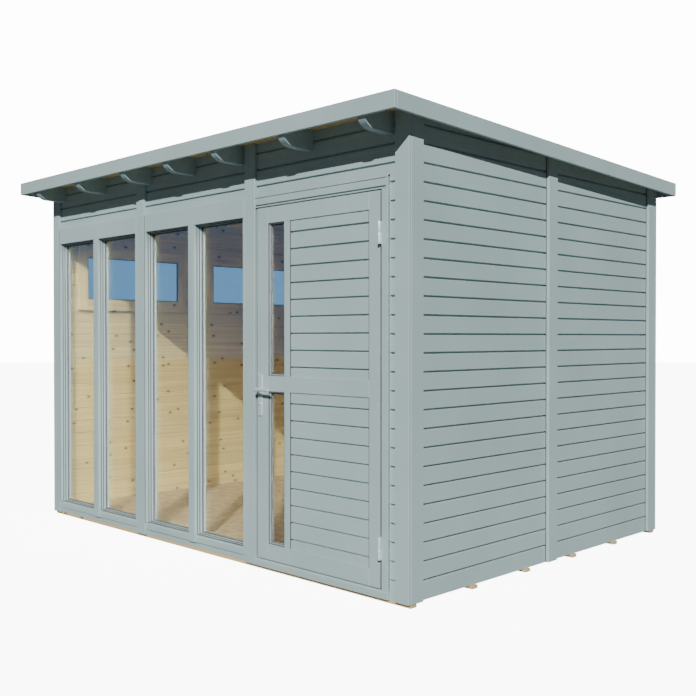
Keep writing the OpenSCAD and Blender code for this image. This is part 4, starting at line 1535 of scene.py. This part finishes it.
@dataclass
class Studio:
    """A pale floor, soft light and the camera."""

    spot: tuple[float, float, float] = (4.5133, -4.3993, 1.2663)
    ahead: tuple[float, float, float] = (-0.70484, 0.70928, -0.01138)
    up: tuple[float, float, float] = (-0.00786, 0.00823, 0.99994)
    lens: float = 47.88
    sun_way: tuple[float, float, float] = (-0.566, 0.671, -0.479)
    sun_power: float = 5.6
    sun_angle: float = 0.6
    sky: Colour = (0.20, 0.47, 0.86)
    fill: Colour = (0.72, 0.88, 1.0)
    fill_power: float = 0.085

    def camera(self) -> None:
        """Places the camera."""
        data = bpy.data.cameras.new("studio_camera")
        data.lens, data.sensor_width, data.clip_end = self.lens, 36.0, 200.0
        item = bpy.data.objects.new("studio_camera", data)
        ahead, up = Vector(self.ahead).normalized(), Vector(self.up).normalized()
        right = ahead.cross(up).normalized()
        up = right.cross(ahead)
        turn = Matrix((right, up, -ahead)).transposed().to_4x4()
        item.matrix_world = Matrix.Translation(self.spot) @ turn
        bpy.context.scene.collection.objects.link(item)
        bpy.context.scene.camera = item

    def sun(self) -> None:
        """Places the sun."""
        data = bpy.data.lights.new("studio_sun", "SUN")
        data.energy, data.angle, data.color = self.sun_power, math.radians(self.sun_angle), (1.0, 0.965, 0.90)
        item = bpy.data.objects.new("studio_sun", data)
        item.rotation_euler = Vector(self.sun_way).to_track_quat("-Z", "Y").to_euler()
        bpy.context.scene.collection.objects.link(item)

    def surround(self) -> None:
        """A near-white surround that fills the shade softly, and is sky blue through glass."""
        world = bpy.data.worlds.new("studio_surround")
        world.use_nodes = True
        tree = world.node_tree
        tree.nodes.clear()
        out = tree.nodes.new("ShaderNodeOutputWorld")
        rays = tree.nodes.new("ShaderNodeLightPath")
        shades = []
        for colour, power in ((self.fill, self.fill_power), (self.sky, 0.85), ((1.0, 1.0, 1.0), 14.0)):
            shade = tree.nodes.new("ShaderNodeBackground")
            shade.inputs["Color"].default_value = (*colour, 1.0)
            shade.inputs["Strength"].default_value = power
            shades.append(shade.outputs["Background"])
        straight = tree.nodes.new("ShaderNodeMath")
        straight.operation = "LESS_THAN"
        tree.links.new(rays.outputs["Diffuse Depth"], straight.inputs[0])
        straight.inputs[1].default_value = 0.5
        through = tree.nodes.new("ShaderNodeMath")
        through.operation = "MULTIPLY"
        tree.links.new(straight.outputs["Value"], through.inputs[0])
        tree.links.new(rays.outputs["Is Transmission Ray"], through.inputs[1])
        mixed = shades[0]
        for share, shade in ((through.outputs["Value"], shades[1]), (rays.outputs["Is Camera Ray"], shades[2])):
            pick = tree.nodes.new("ShaderNodeMixShader")
            tree.links.new(share, pick.inputs[0])
            tree.links.new(mixed, pick.inputs[1])
            tree.links.new(shade, pick.inputs[2])
            mixed = pick.outputs["Shader"]
        tree.links.new(mixed, out.inputs["Surface"])
        bpy.context.scene.world = world

    def floor(self) -> None:
        """Lays the pale floor."""
        bm = bmesh.new()
        bmesh.ops.create_grid(bm, x_segments=1, y_segments=1, size=40.0)
        data = bpy.data.meshes.new("studio_floor")
        bm.to_mesh(data)
        bm.free()
        data.materials.append(PaleFloor().material())
        item = bpy.data.objects.new("studio_floor", data)
        bpy.context.scene.collection.objects.link(item)

    def build(self) -> None:
        """Sets up the studio."""
        self.camera()
        self.sun()
        self.surround()
        self.floor()


def main() -> None:
    """Builds every piece in order."""
    logging.basicConfig(level=logging.INFO, format="%(name)s: %(message)s")
    lines = SetOut.measure()
    Studio().build()
    windows = SideWindows(lines)
    BoardedWalls(lines).build(windows.holes())
    windows.build()
    Trims(lines).build()
    half = lines.trim_w / 2
    FrontWindow(lines, "left", (-lines.half + lines.trim_w, lines.battens[0] - half)).build()
    FrontWindow(lines, "right", (lines.battens[0] + half, lines.battens[1] - half)).build()
    DoorFrame(lines).build()
    DoorLeaf(lines).build()
    Hinges().build()
    Handle().build()
    Floor(lines).build()
    Roof(lines).build()


if __name__ == "__main__":
    main()
